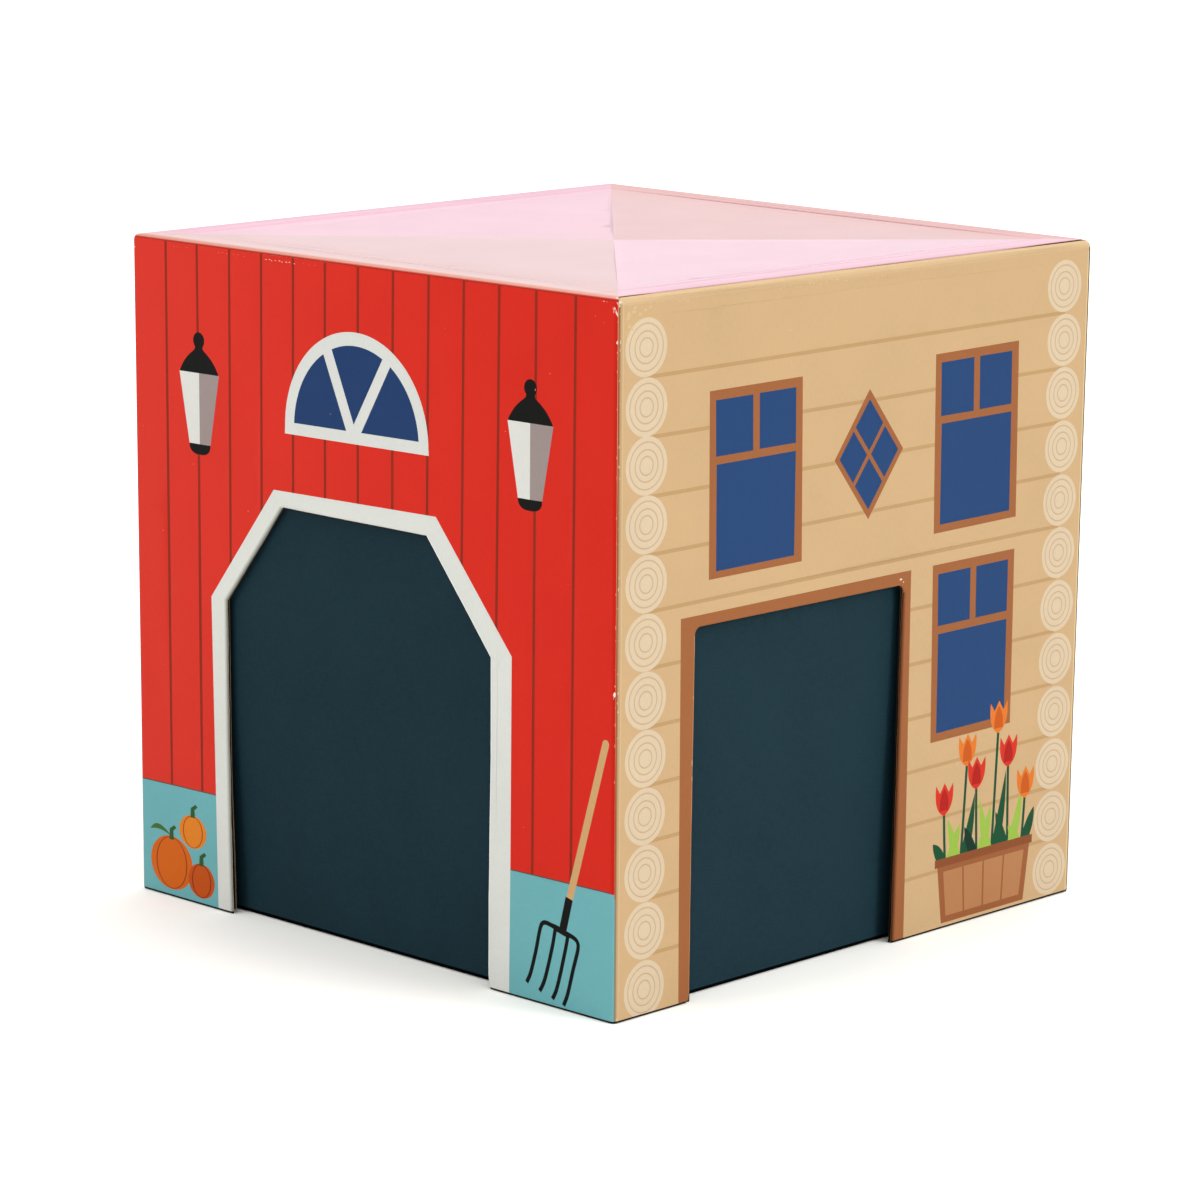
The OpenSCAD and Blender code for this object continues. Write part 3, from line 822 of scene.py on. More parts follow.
    # at the front crease, painted shade as a darker strip and a painted highlight as a pale streak, then the barn's
    # red and turquoise print at the very edge
    add((212, 176, 130), rect(-SMAX - 1, -1, -88.6, BEAD_Z - 0.6))
    add((228, 198, 154), stroke([(-88.5, -1), (-88.3, 90), (-88.4, BEAD_Z - 1.2)], 0.3))
    add((176, 142, 110), rect(-SMAX - 1, -1, -SMAX + 0.5, BEAD_Z - 0.4))
    add((186, 56, 44), rect(-SMAX - 1, 31.5, -SMAX + 0.2, BEAD_Z - 0.4))
    add((110, 160, 162), rect(-SMAX - 1, -1, -SMAX + 0.2, 31.5))
    for i in range(21):
        z = 176.0 - i * 5.2 - 1.7 * math.sin(i * 2.2)
        add((236, 214, 178), blob(-89.3 + 0.12 * math.sin(i * 1.7), z, 0.09 + 0.05 * math.sin(i * 1.1), 850 + i, n=7, stretch=3.2, rough=0.5))
    # painted highlight: a pale streak along the right crease; past it the yard's print drawn dark, partly its own
    # grey-brown and partly painted shade
    add((240, 212, 165), stroke([(88.3, -1), (88.4, 90), (88.35, BEAD_Z - 1.6)], 0.34))
    add((100, 88, 76), [(88.8, -1), (SMAX + 1, -1), (SMAX + 1, BEAD_V + 1), (88.5, BEAD_V + 1), (88.55, BEAD_Z), (88.7, BEAD_Z - 6)])
    for i, (x, z, r) in enumerate(((-86.4, 175.6, 0.8), (-84.0, 177.2, 0.5), (-84.5, 176.0, 0.7), (-82.6, 175.4, 0.5), (-80.8, 176.2, 0.45), (-86.9, 174.6, 0.6), (-86.2, 172.6, 0.55), (-86.6, 170.8, 0.4), (-85.3, 171.9, 0.35), (-79.0, 176.7, 0.4), (-83.0, 173.9, 0.35), (-87.2, 168.9, 0.3))):
        add((224, 199, 150), blob(x, z, r, 800 + i, n=11, stretch=0.7, rough=0.45))
    # pale nicks
    worn = (246, 236, 216)
    for i, (s, z, r, st) in enumerate(((-89.35, 178.75, 0.42, 1.0), (-89.5, 177.9, 0.2, 1.6), (-88.6, 178.75, 0.2, 0.6), (15.4, 97.2, 0.45, 0.6), (16.4, 96.4, 0.18, 1.3), (-84.6, 176.9, 0.2, 0.5), (88.6, 178.6, 0.22, 1.2), (-88.9, 1.0, 0.16, 1.2), (88.9, 1.3, 0.16, 1.2), (-62.9, 0.9, 0.2, 1.4), (-89.2, 83.2, 0.13, 2.4), (-89.2, 169.0, 0.12, 2.2))):
        add(worn, blob(s, z, r, 500 + i, stretch=st))
    for i, s in enumerate((-69.0, -67.4, -66.1, -33.0, -31.8, -29.4, -27.0, -25.7, -22.2, -20.9, -18.4, -16.0, -12.0, -8.8, 3.2, 5.1)):
        add((236, 214, 174), blob(s, 177.3 + 0.35 * math.sin(i * 1.7), 0.26, 600 + i, n=7, stretch=0.5))
    return A


def house_art():
    """The far left wall: a plain white cottage."""
    A = []
    S = HOUSE

    def add(rgb, poly):
        A.append((ink(rgb, S), poly))

    mark = (92, 94, 98)
    rng = np.random.RandomState(7)
    for row, z in enumerate(np.arange(32, 176, 12.0)):
        for s in np.arange(-84 + (row % 2) * 24.5, 86, 49.0):
            w = 5.2 + rng.uniform(-0.6, 0.6)
            add(mark, stroke([(s, z), (s + w, z + rng.uniform(-0.3, 0.3))], 0.7, "round"))
            add(mark, stroke([(s + 3.6, z + 2.6), (s + 3.6 + w * 0.7, z + 2.6)], 0.7, "round"))
    for i, s in enumerate(np.arange(-90, 90, 10.0)):
        add(((166, 74, 58), (214, 178, 134), (178, 92, 66))[i % 3], rect(s, 10.2, s + 9.4, 20))
        add(((178, 92, 66), (166, 74, 58), (214, 178, 134))[i % 3], rect(s - 5, -1, s + 4.4, 9.6))
    add((238, 234, 224), rect(-91, 20, 91, 21.2))
    for z in (162.6, 112.2, 62.6):
        add(mark, stroke([(86.4, z), (91, z)], 1.9))
    frame_c, blue, shut = (92, 124, 132), (52, 88, 138), (74, 134, 132)
    for cx in (-52, 52):
        for z0, z1 in ((46, 80), (112, 150)):
            for sx in (-1, 1):
                add(shut, rect(cx + sx * 19 - 6, z0 - 1, cx + sx * 19 + 6, z1 + 1))
                for z in np.arange(z0 + 3, z1 - 1, 4.0):
                    add((58, 110, 110), rect(cx + sx * 19 - 4.4, z, cx + sx * 19 + 4.4, z + 0.9))
            add(frame_c, rect(cx - 12.5, z0 - 1.5, cx + 12.5, z1 + 1.5))
            for a in (-1, 1):
                for b0, b1 in ((z0, (z0 + z1) / 2 - 0.6), ((z0 + z1) / 2 + 0.6, z1)):
                    x0, x1 = (cx - 11, cx - 0.7) if a < 0 else (cx + 0.7, cx + 11)
                    add(blue, rect(x0, b0, x1, b1))
            add((170, 104, 66), rect(cx - 15, z0 - 7, cx + 15, z0 - 1.5))
            for j in range(6):
                x = cx - 12 + j * 4.8
                add((86, 138, 70), disc(x, z0 - 0.6, 2.6, 20, 2.2))
                add(((214, 72, 60), (236, 170, 60))[j % 2], disc(x, z0 + 1.6, 1.5, 18))
    add((170, 104, 66), rect(-17, -1, 17, 78))
    add((214, 74, 58), rect(-13.5, -1, 13.5, 74.5))
    for x0, x1 in ((-10.5, -1.2), (1.2, 10.5)):
        for z0, z1 in ((6, 26), (30, 50)):
            add((180, 56, 46), rect(x0, z0, x1, z1))
    add(blue, disc(0, 56, 10.5, 25, a0=0, a1=math.pi, closed=False))
    add((214, 74, 58), stroke([(0, 56), (0, 66.5)], 1.0))
    add((226, 190, 90), disc(10.2, 28.2, 1.1, 20))
    add((60, 62, 66), rect(-20, -1, 20, 2.6))
    # a climbing rose
    vine = bez((29, 21), (38, 70), (27, 104), 20) + bez((27, 104), (22, 128), (34, 160), 20)[1:]
    add((72, 112, 62), stroke(vine, 1.1))
    for i, (x, z) in enumerate(vine[2::3]):
        add((86, 138, 70), disc(x + 2.4 * (-1) ** i, z + 1, 2.2, 18, 1.4))
        if i % 2:
            add((222, 96, 110), disc(x - 2.2 * (-1) ** i, z, 1.7, 20))
    return A


def yard_art():
    """The far right wall: a grey-brown board shed."""
    A = []
    S = YARD
    px = measured()

    def add(rgb, poly):
        A.append((ink(rgb, S), poly))

    for i, s in enumerate(np.arange(-78, 90, 12.0)):
        add((96, 84, 76), stroke([(s, 181.5), (s - 0.6, 21)], 0.6))
        if i % 3 == 0:
            add((112, 100, 90), disc(s + 5.8, 60 + 31 * (i % 4), 1.5, 20, 2.6))
            add((96, 84, 76), disc(s + 5.8, 60 + 31 * (i % 4), 0.6, 14, 1.1))
    add((126, 160, 92), px((-40, 1412), (1640, 1405), (1640, 1700), (-40, 1700)))
    for i, s in enumerate(np.arange(-88, 90, 5.2)):
        add((88, 128, 70), bez((s, 18), (s + 0.2, 22), (s + 1.4 * (-1) ** i, 24.6)) + bez((s + 1.4 * (-1) ** i, 24.6), (s + 1.4, 22), (s + 1.8, 18))[1:-1])
    cream, rust = (226, 216, 196), (168, 76, 56)
    add(cream, rect(-34, -1, 34, 96))
    add(rust, rect(-31, -1, -0.8, 93))
    add(rust, rect(0.8, -1, 31, 93))
    for x0, x1 in ((-28.4, -3.4), (3.4, 28.4)):
        for z0, z1 in ((3, 44), (48, 90)):
            add(cream, rect(x0, z0, x1, z1))
            add(rust, rect(x0 + 2.2, z0 + 2.2, x1 - 2.2, z1 - 2.2))
            add(cream, stroke([(x0 + 1.4, z0 + 1.4), (x1 - 1.4, z1 - 1.4)], 2.4))
            add(cream, stroke([(x0 + 1.4, z1 - 1.4), (x1 - 1.4, z0 + 1.4)], 2.4))
    add((40, 40, 44), rect(-2.6, 50, -1.4, 58))
    add((40, 40, 44), rect(1.4, 50, 2.6, 58))
    # hay loft
    add(cream, [(-18, 112), (18, 112), (18, 146), (0, 158), (-18, 146)])
    add((54, 48, 46), [(-15, 115), (15, 115), (15, 144.6), (0, 154.4), (-15, 144.6)])
    add((214, 172, 86), bez((-15, 115), (-8, 139), (0, 129), 10) + bez((0, 129), (9, 140), (15, 115), 10)[1:])
    for i in range(7):
        x = -11 + i * 3.6
        add((182, 138, 60), stroke([(x, 117), (x + 1.6, 121.5)], 0.5))
    frame_c, blue = (92, 78, 68), (52, 84, 126)
    for cx in (-62, 62):
        add(frame_c, rect(cx - 14, 58, cx + 14, 92))
        for x0, x1 in ((cx - 12, cx - 0.8), (cx + 0.8, cx + 12)):
            for z0, z1 in ((60, 74.2), (75.8, 90)):
                add(blue, rect(x0, z0, x1, z1))
        add(frame_c, disc(cx, 132, 10.5, 48))
        add(blue, disc(cx, 132, 8.6, 48))
        add(frame_c, stroke([(cx, 122.5), (cx, 141.5)], 1.3))
        add(frame_c, stroke([(cx - 9.5, 132), (cx + 9.5, 132)], 1.3))
    for cx in (-62, 60):
        add((206, 162, 78), rect(cx - 15, 3, cx + 15, 20))
        for z in (8.0, 14.6):
            add((150, 104, 52), rect(cx - 15, z, cx + 15, z + 1.1))
        for i in range(10):
            x = cx - 13 + i * 2.9
            add((180, 134, 60), stroke([(x, 4.6), (x + 1.1, 6.8)], 0.45))
            add((180, 134, 60), stroke([(x + 0.6, 10.4), (x - 0.4, 13.0)], 0.45))
            add((180, 134, 60), stroke([(x, 16.6), (x + 1.2, 18.9)], 0.45))
    return A


ROOF_TONES = {BARN: ((243, 213, 212.0), (246, 219, 222.0)), LOG: ((254, 221, 233.0), (254, 224, 236.0)), YARD: ((243, 207, 206.0), (244, 212, 213.0)), HOUSE: ((250, 215, 228.0), (252, 219, 231.0))}


def roof_colour(side):
    """Pink or beige-pink, with paler streaks near the barn edge as painted highlights and deeper streaks near the free
    edges as painted shade.
    """
    rim, heart = (np.array(q) for q in ROOF_TONES[side])
    beige = side in (BARN, YARD)

    def at(u, v):
        y = -(HALF - RF) + (v - ARC)
        e = HALF - np.maximum(np.abs(u), np.abs(y))
        barn = y + HALF
        far = np.minimum(HALF - np.abs(u) + 0 * y, HALF - y)

        def blend(c, k, to):
            k = np.asarray(k)[..., None]
            return c * (1 - k) + to * k

        c = blend(np.tile(rim, (*np.shape(u), 1)).astype(float), smooth((e - 3) / 26), heart)
        white = np.array((255, 246, 249.0))
        deep = np.array((241, 182, 182.0)) if beige else np.array((248, 190, 212.0))
        wob = 0.3 * np.sin(u * 0.05 + 1.3) + 0.2 * np.sin(u * 0.021)
        # painted highlights: paler streaks and a broad paler band along the barn edge
        for at_, wide, k in ((4.6, 0.35, 0.30), (6.1, 0.28, 0.34), (7.6, 0.22, 0.22), (9.2, 0.5, 0.36), (10.9, 0.25, 0.22)):
            c = blend(c, k * np.exp(-((barn - at_ - wob) / wide) ** 2), white)
        c = blend(c, 0.30 * np.exp(-((barn - 3.4) / 2.4) ** 2), white)
        # painted shade: deeper streaks inside the three free edges
        back = far if side in (YARD, HOUSE) else far + 0.0
        strong = 0.62 if side in (YARD, HOUSE) else 0.3
        c = blend(c, strong * 0.5 * np.exp(-((back - 4.6) / 4.4) ** 2), deep)
        c = blend(c, strong * np.exp(-((back - 10.0) / 0.9) ** 2), deep)
        c = blend(c, strong * 0.8 * np.exp(-((back - 3.0) / 0.8) ** 2), deep)
        c = blend(c, 0.85 * smooth((2.35 - far) / 0.6), np.array((206, 168, 178.0)))
        # the fold itself, where the red rolls over: a salmon band, and a dark-red line along it as painted shade
        c = blend(c, 0.92 * smooth((3.4 - barn) / 2.8), np.array((250, 178, 160.0)))
        c = blend(c, 0.9 * smooth((0.60 - v) / 0.2), np.array((186, 52, 42.0)))
        c = blend(c, smooth((0.36 - v) / 0.16), np.array((204, 46, 37.0)))
        return ink(c, "roof")

    return at


# ------------------------------------------------------------------ materials


class Nodes:
    def __init__(self, name):
        self.m = bpy.data.materials.new(name)
        self.m.use_nodes = True
        self.t = self.m.node_tree
        self.t.nodes.clear()
        self.out = self.t.nodes.new("ShaderNodeOutputMaterial")
        self.b = self.t.nodes.new("ShaderNodeBsdfPrincipled")
        self.t.links.new(self.b.outputs[0], self.out.inputs[0])
        tc = self.t.nodes.new("ShaderNodeTexCoord")
        self.obj = tc.outputs["Object"]
        sep = self.node("ShaderNodeSeparateXYZ", Vector=self.obj)
        self.x, self.y, self.z = sep.outputs[0], sep.outputs[1], sep.outputs[2]

    def node(self, kind, props=None, **inputs):
        n = self.t.nodes.new(kind)
        for k, v in (props or {}).items():
            setattr(n, k, v)
        for k, v in inputs.items():
            k = k.replace("_", " ")
            sock = n.inputs[int(k)] if k.isdigit() else n.inputs[k]
            self.put(sock, v)
        return n

    def put(self, sock, v):
        if hasattr(v, "is_output"):
            self.t.links.new(v, sock)
        elif isinstance(v, (tuple, list, np.ndarray)) and len(v) == 3 and sock.type == "RGBA":
            sock.default_value = (*[float(q) for q in v], 1.0)
        else:
            sock.default_value = v

    def math(self, op, a, b=None, c=None, clamp=False):
        n = self.t.nodes.new("ShaderNodeMath")
        n.operation = op
        n.use_clamp = clamp
        for i, v in enumerate((a, b, c)):
            if v is not None:
                self.put(n.inputs[i], v)
        return n.outputs[0]

    def vec(self, x, y, z=0.0):
        return self.node("ShaderNodeCombineXYZ", X=x, Y=y, Z=z).outputs[0]

    def noise(self, vec, scale, detail=2.0, rough=0.5):
        return self.node("ShaderNodeTexNoise", Vector=vec, Scale=scale, Detail=detail, Roughness=rough).outputs["Fac"]

    def stretch(self, a, b, ka, kb, c=0.0):
        """A coordinate stretched differently along a and b."""
        return self.vec(self.math("MULTIPLY", a, ka), self.math("MULTIPLY", b, kb), c)

    def range(self, v, a, b, c, d, smoothly=False):
        n = self.node("ShaderNodeMapRange", {"interpolation_type": "SMOOTHSTEP" if smoothly else "LINEAR"})
        self.put(n.inputs["Value"], v)
        for k, q in (("From Min", a), ("From Max", b), ("To Min", c), ("To Max", d)):
            self.put(n.inputs[k], q)
        return n.outputs["Result"]

    def mix(self, fac, a, b, blend="MIX"):
        n = self.t.nodes.new("ShaderNodeMix")
        n.data_type = "RGBA"
        n.blend_type = blend
        self.put(n.inputs["Factor"], fac)
        self.put([s for s in n.inputs if s.name == "A" and s.type == "RGBA"][0], a)
        self.put([s for s in n.inputs if s.name == "B" and s.type == "RGBA"][0], b)
        return [s for s in n.outputs if s.type == "RGBA"][0]

    def attribute(self, name):
        return self.node("ShaderNodeAttribute", {"attribute_name": name})

    def bump(self, height, dist=0.001, strength=1.0):
        n = self.node("ShaderNodeBump", Height=height, Distance=dist, Strength=strength)
        self.t.links.new(n.outputs[0], self.b.inputs["Normal"])
        return n

    def set(self, **kw):
        for k, v in kw.items():
            self.put(self.b.inputs[k.replace("_", " ")], v)
        return self.m


def specks(n, vec, scale, size, share):
    """Sparse round specks: a mask of 0 or 1."""
    v = n.node("ShaderNodeTexVoronoi", Vector=vec, Scale=scale)
    near = n.range(v.outputs["Distance"], size, size * 0.6, 0.0, 1.0)
    sep = n.node("ShaderNodeSeparateColor", Color=v.outputs["Color"])
    few = n.math("GREATER_THAN", sep.outputs[0], 1 - share)
    return n.math("MULTIPLY", near, few)


def printed(name, roof=False):
    """Litho-printed paper on fluted board, thinly varnished."""
    n = Nodes(name)
    if roof:
        a, b = n.x, n.y
    else:
        a, b = n.math("ADD", n.x, n.y), n.z
    flat = n.vec(a, b, 0.0)
    base = n.attribute("ink").outputs["Color"]
    wear = n.attribute("wear").outputs["Fac"]
    cloud = n.noise(flat, 45.0, 3.0, 0.55)
    grain = n.noise(flat, 3200.0, 2.0, 0.6)
    fibre = n.noise(n.stretch(a, b, 2600.0, 620.0), 1.0, 2.0, 0.55)
    weave = n.noise(n.stretch(a, b, 500.0, 2900.0), 1.0, 2.0, 0.55)
    value = n.math("ADD", n.range(cloud, 0.3, 0.7, 0.975, 1.02), n.range(grain, 0.3, 0.7, -0.022, 0.022))
    value = n.math("ADD", value, n.range(fibre, 0.3, 0.7, -0.026, 0.026))
    tone = n.node("ShaderNodeHueSaturation", Color=base, Value=value).outputs["Color"]
    dust = specks(n, flat, 260.0, 0.032, 0.06)
    tone = n.mix(n.math("MULTIPLY", dust, 0.55), tone, (0.80, 0.77, 0.72))
    rub = n.noise(flat, 1500.0, 4.0, 0.7)
    rubbed = n.range(n.math("ADD", rub, wear), 1.02, 1.10, 0.0, 1.0, True)
    tone = n.mix(n.math("MULTIPLY", rubbed, 0.85), tone, (0.83, 0.80, 0.75))
    ripple = n.math("SINE", n.math("ADD", n.math("MULTIPLY", a if not roof else n.x, 2 * math.pi / 0.0032), n.range(cloud, 0, 1, -1.2, 1.2)))
    height = n.math("MULTIPLY", ripple, 0.0035)
    height = n.math("ADD", height, n.math("MULTIPLY", fibre, 0.016))
    height = n.math("ADD", height, n.math("MULTIPLY", weave, 0.013))
    height = n.math("ADD", height, n.math("MULTIPLY", grain, 0.008))
    height = n.math("SUBTRACT", height, n.math("MULTIPLY", rubbed, 0.03))
    n.bump(height)
    rough = n.math("ADD", n.range(grain, 0.3, 0.7, 0.47, 0.57), n.math("MULTIPLY", rubbed, 0.3))
    n.set(Base_Color=tone, Roughness=rough)
    n.b.inputs["Specular IOR Level"].default_value = 0.07
    n.b.inputs["Sheen Weight"].default_value = 0.0
    return n.m


def kraft(name, colour, dark, lined=True, flutes_along="h"):
    n = Nodes(name)
    h = n.math("ADD", n.x, n.y)
    coord = n.obj
    cloud = n.noise(coord, 70.0, 4.0, 0.6)
    fibre = n.noise(n.node("ShaderNodeMapping", Vector=coord, Scale=(900.0, 900.0, 3400.0)).outputs[0], 1.0, 3.0, 0.65)
    fleck = n.noise(coord, 1600.0, 3.0, 0.7)
    k = n.math("ADD", n.range(cloud, 0.3, 0.7, 0.0, 0.5), n.range(fibre, 0.3, 0.7, 0.0, 0.5))
    tone = n.mix(k, dark, colour)
    tone = n.mix(n.range(fleck, 0.66, 0.74, 0.0, 0.5), tone, tuple(0.45 * q for q in dark))
    height = n.math("ADD", n.math("MULTIPLY", fibre, 0.03), n.math("MULTIPLY", fleck, 0.015))
    if lined:
        axis = h if flutes_along == "h" else (n.x if flutes_along == "x" else n.y)
        ripple = n.math("SINE", n.math("MULTIPLY", axis, 2 * math.pi / 0.0032))
        height = n.math("ADD", height, n.math("MULTIPLY", ripple, 0.03))
        tone = n.mix(n.range(ripple, -1, 1, 0.0, 0.16), tone, tuple(0.6 * q for q in dark))
    n.bump(height)
    n.set(Base_Color=tone, Roughness=n.range(fibre, 0.3, 0.7, 0.78, 0.92))
    n.b.inputs["Specular IOR Level"].default_value = 0.2
    return n.m


def book_paper(name, colour, grain_depth=0.016, spec=0.05, rough=(0.62, 0.74)):
    """Coloured covering paper with a fine cloth-like emboss."""
    n = Nodes(name)
    a, b = n.math("ADD", n.x, n.y), n.z
    flat = n.vec(a, b, n.math("SUBTRACT", n.x, n.y))
    cloud = n.noise(flat, 38.0, 4.0, 0.6)
    warp = n.noise(n.stretch(a, b, 1900.0, 420.0), 1.0, 2.0, 0.5)
    weft = n.noise(n.stretch(a, b, 380.0, 2100.0), 1.0, 2.0, 0.5)
    grain = n.noise(flat, 3600.0, 2.0, 0.6)
    value = n.math("ADD", n.range(cloud, 0.3, 0.7, 0.93, 1.06), n.range(grain, 0.3, 0.7, -0.05, 0.05))
    value = n.math("ADD", value, n.range(warp, 0.3, 0.7, -0.08, 0.08))
    value = n.math("ADD", value, n.range(weft, 0.3, 0.7, -0.08, 0.08))
    tone = n.node("ShaderNodeHueSaturation", Color=(*colour, 1.0), Value=value).outputs["Color"]
    dust = specks(n, flat, 150.0, 0.022, 0.10)
    tone = n.mix(n.math("MULTIPLY", dust, 0.35), tone, (0.5, 0.52, 0.5))
    edge = n.attribute("wear").outputs["Fac"]
    rub = n.range(n.math("ADD", n.noise(flat, 900.0, 4.0, 0.7), edge), 1.0, 1.12, 0.0, 0.55, True)
    tone = n.mix(rub, tone, tuple(min(1.0, 0.06 + 3.2 * q) for q in colour))
    height = n.math("ADD", n.math("MULTIPLY", warp, grain_depth), n.math("MULTIPLY", weft, grain_depth))
    height = n.math("ADD", height, n.math("MULTIPLY", grain, grain_depth * 0.4))
    n.bump(height)
    n.set(Base_Color=tone, Roughness=n.range(grain, 0.3, 0.7, *rough))
    n.b.inputs["Specular IOR Level"].default_value = spec
    return n.m


def greyboard_material():
    n = Nodes("greyboard")
    cloud = n.noise(n.obj, 120.0, 4.0, 0.6)
    fibre = n.noise(n.obj, 1500.0, 4.0, 0.7)
    layers = n.math("SINE", n.math("MULTIPLY", n.math("ADD", n.x, n.y), 2 * math.pi / 0.0005))
    tone = n.mix(n.range(cloud, 0.3, 0.7, 0, 1), tuple(lin((128, 122, 112))), tuple(lin((158, 151, 140))))
    tone = n.mix(n.range(fibre, 0.62, 0.72, 0, 0.6), tone, tuple(lin((86, 84, 92))))
    n.bump(n.math("ADD", n.math("MULTIPLY", fibre, 0.06), n.math("MULTIPLY", layers, 0.006)))
    n.set(Base_Color=tone, Roughness=n.range(fibre, 0.3, 0.7, 0.8, 0.95))
    n.b.inputs["Specular IOR Level"].default_value = 0.2
    return n.m


def plain_paper(name, colour, spec=0.2):
    n = Nodes(name)
    cloud = n.noise(n.obj, 60.0, 4.0, 0.6)
    fibre = n.noise(n.obj, 2200.0, 4.0, 0.65)
    value = n.math("ADD", n.range(cloud, 0.3, 0.7, 0.96, 1.02), n.range(fibre, 0.3, 0.7, -0.03, 0.03))
    tone = n.node("ShaderNodeHueSaturation", Color=(*colour, 1.0), Value=value).outputs["Color"]
    n.bump(n.math("MULTIPLY", fibre, 0.02))
    n.set(Base_Color=tone, Roughness=n.range(fibre, 0.3, 0.7, 0.68, 0.84))
    n.b.inputs["Specular IOR Level"].default_value = spec
    return n.m


M_PRINT = printed("printed_wall_paper")
M_ROOF = printed("printed_roof_paper", roof=True)
M_KRAFT = kraft("kraft_liner", tuple(lin((178, 140, 100))), tuple(lin((138, 102, 68))))
M_TORN = kraft("kraft_torn_edge", tuple(lin((150, 124, 98))), tuple(lin((98, 78, 58))), lined=False)
# near-black kraft for the liner's side facing the flutes and the log liner's cut edge: painted shade inside the board
M_INNER_SIDE_SHADE = kraft("kraft_inner_side_shade", tuple(lin((46, 34, 24))), tuple(lin((24, 18, 13))))
M_KRAFT_ROOF = kraft("kraft_liner_roof", tuple(lin((190, 150, 104))), tuple(lin((158, 116, 74))), flutes_along="x")
# kraft brown darkened far below the liner's tone: painted shade for the flutes deep in the board
M_FLUTE = kraft("kraft_medium", tuple(lin((74, 55, 37))), tuple(lin((38, 28, 19))), lined=False)
TEAL = (0.0065, 0.0214, 0.0305)
M_TEAL = book_paper("teal_covering_paper", tuple(float(q) for q in TEAL))
# near-black paper for the tray's turned-under edge: painted contact shade
M_TRAY_FOOT_SHADE = book_paper("teal_covering_paper_foot_shade", (0.0016, 0.0020, 0.0022), spec=0.0)
M_BASE = book_paper("teal_base_paper", tuple(float(q) * 0.8 for q in TEAL))
# dark red-brown top of the roof flaps, seen only in the slit along the roof's edge: painted shade for the slit
M_FLAP = kraft("flap_top_paper", tuple(lin((128, 70, 56))), tuple(lin((96, 50, 40))), lined=False)
# near-black for the board's last millimetre above the table: painted contact shade
M_FOOT_SHADE = kraft("board_foot_shade", (0.010, 0.008, 0.006), (0.004, 0.003, 0.003), lined=False)
M_GREY = greyboard_material()
M_LINING = plain_paper("lining_paper", tuple(lin((232, 228, 216))))
M_STAY = plain_paper("stay_paper", tuple(lin((222, 210, 186))))


# ------------------------------------------------------------------ the shell's walls

CREASE = [FLAT - 3.0, FLAT - 1.5, FLAT - 0.6] + [FLAT + RV * a for a in np.linspace(0, math.pi / 4, 7)[:-1]]
BOTTOM_ROWS = [0.06, 0.15, 0.28, 0.45, 0.7, 1.4, 2.6, 4.0]


def wall_lines(k, top):
    lines = []
    for c in CREASE:
        for s in (-c, c):
            lines.append(((s, 0.0), (s, top)))
    for z in BOTTOM_ROWS:
        if k in CUTS:
            a, b = CUTS[k][0][0], CUTS[k][-1][0]
            lines += [((-SMAX, z), (a, z)), ((b, z), (SMAX, z))]
        else:
            lines.append(((-SMAX, z), (SMAX, z)))
    if k == BARN:
        for z in (FOLD_Z - 0.7, FOLD_Z - 2.0, FOLD_Z - 4.0):
            lines.append(((-SMAX, z), (SMAX, z)))
    else:
        marks = [BEAD_Z - 4, BEAD_Z - 2, BEAD_Z - 0.8, BEAD_Z]
        marks += [BEAD_Z + BEAD_R * a for a in np.linspace(0, math.pi / 2, 7)[1:]]
        m = BEAD_Z + BEAD_R * math.pi / 2
        marks += [m + BEAD_R2 * a for a in np.linspace(0, math.pi / 2, 5)[1:]]
        for z in marks:
            if z < top - 1e-3:
                lines.append(((-SMAX, z), (SMAX, z)))
    return lines


def cut_lines(k, steps=(0.05, 0.14, 0.28, 0.46, 0.68, 0.92, 1.2, 1.6), cuts=CUTS):
    out = []
    for d in steps:
        line = offset_line(cuts[k], d)
        line[0], line[-1] = (line[0][0], 0.0), (line[-1][0], 0.0)
        out += list(zip(line[:-1], line[1:]))
    return out


def wall_outline(k, top, cuts=CUTS):
    if k in CUTS:
        return [(-SMAX, 0.0)] + cuts[k] + [(SMAX, 0.0), (SMAX, top), (-SMAX, top)]
    return [(-SMAX, 0.0), (SMAX, 0.0), (SMAX, top), (-SMAX, top)]


def split_outline(outline, step=3.0):
    """More points along long sides, so that they can bend."""
    out = []
    for a, b in zip(outline, outline[1:] + outline[:1]):
        n = max(1, int(math.hypot(b[0] - a[0], b[1] - a[1]) / step))
        out += [(a[0] + (b[0] - a[0]) * i / n, a[1] + (b[1] - a[1]) * i / n) for i in range(n)]
    return out


def wall_wear(k):
    def at(s, v):
        w = 0.34 * np.exp(-((np.abs(s) - SMAX) / 0.8) ** 2) * (0.55 + 0.45 * smooth((v - 90) / 90))
        if k == BARN:
            w = np.maximum(w, 0.28 * np.exp(-((v - FOLD_Z) / 0.5) ** 2))
        else:
            w = np.maximum(w, 0.30 * np.exp(-((v - BEAD_Z - 0.9) / 0.7) ** 2))
        if k in CUTS:
            w = np.maximum(w, 0.33 * np.exp(-((seg_distance(s, v, CUTS[k])) / 0.35) ** 2))
        w = np.maximum(w, 0.26 * np.exp(-((v - 0.95) / 0.25) ** 2))
        corner = np.exp(-((SMAX - np.abs(s)) ** 2 + (179 - v) ** 2) / 2.2)
        return np.maximum(w, 0.52 * corner)

    return at


def barn_red_with_sheen(u, v):
    """The red ground, paler and greyer towards the left: a painted sheen."""
    k = np.clip((np.asarray(u, float) + 90) / 180, 0, 1)[..., None]
    c = np.where(k < 0.5, np.array((217, 60, 49.0)) * (1 - 2 * k) + np.array((216, 52, 42.0)) * 2 * k, np.array((216, 52, 42.0)) * (2 - 2 * k) + np.array((213, 49, 39.0)) * (2 * k - 1))
    return ink(c, BARN)


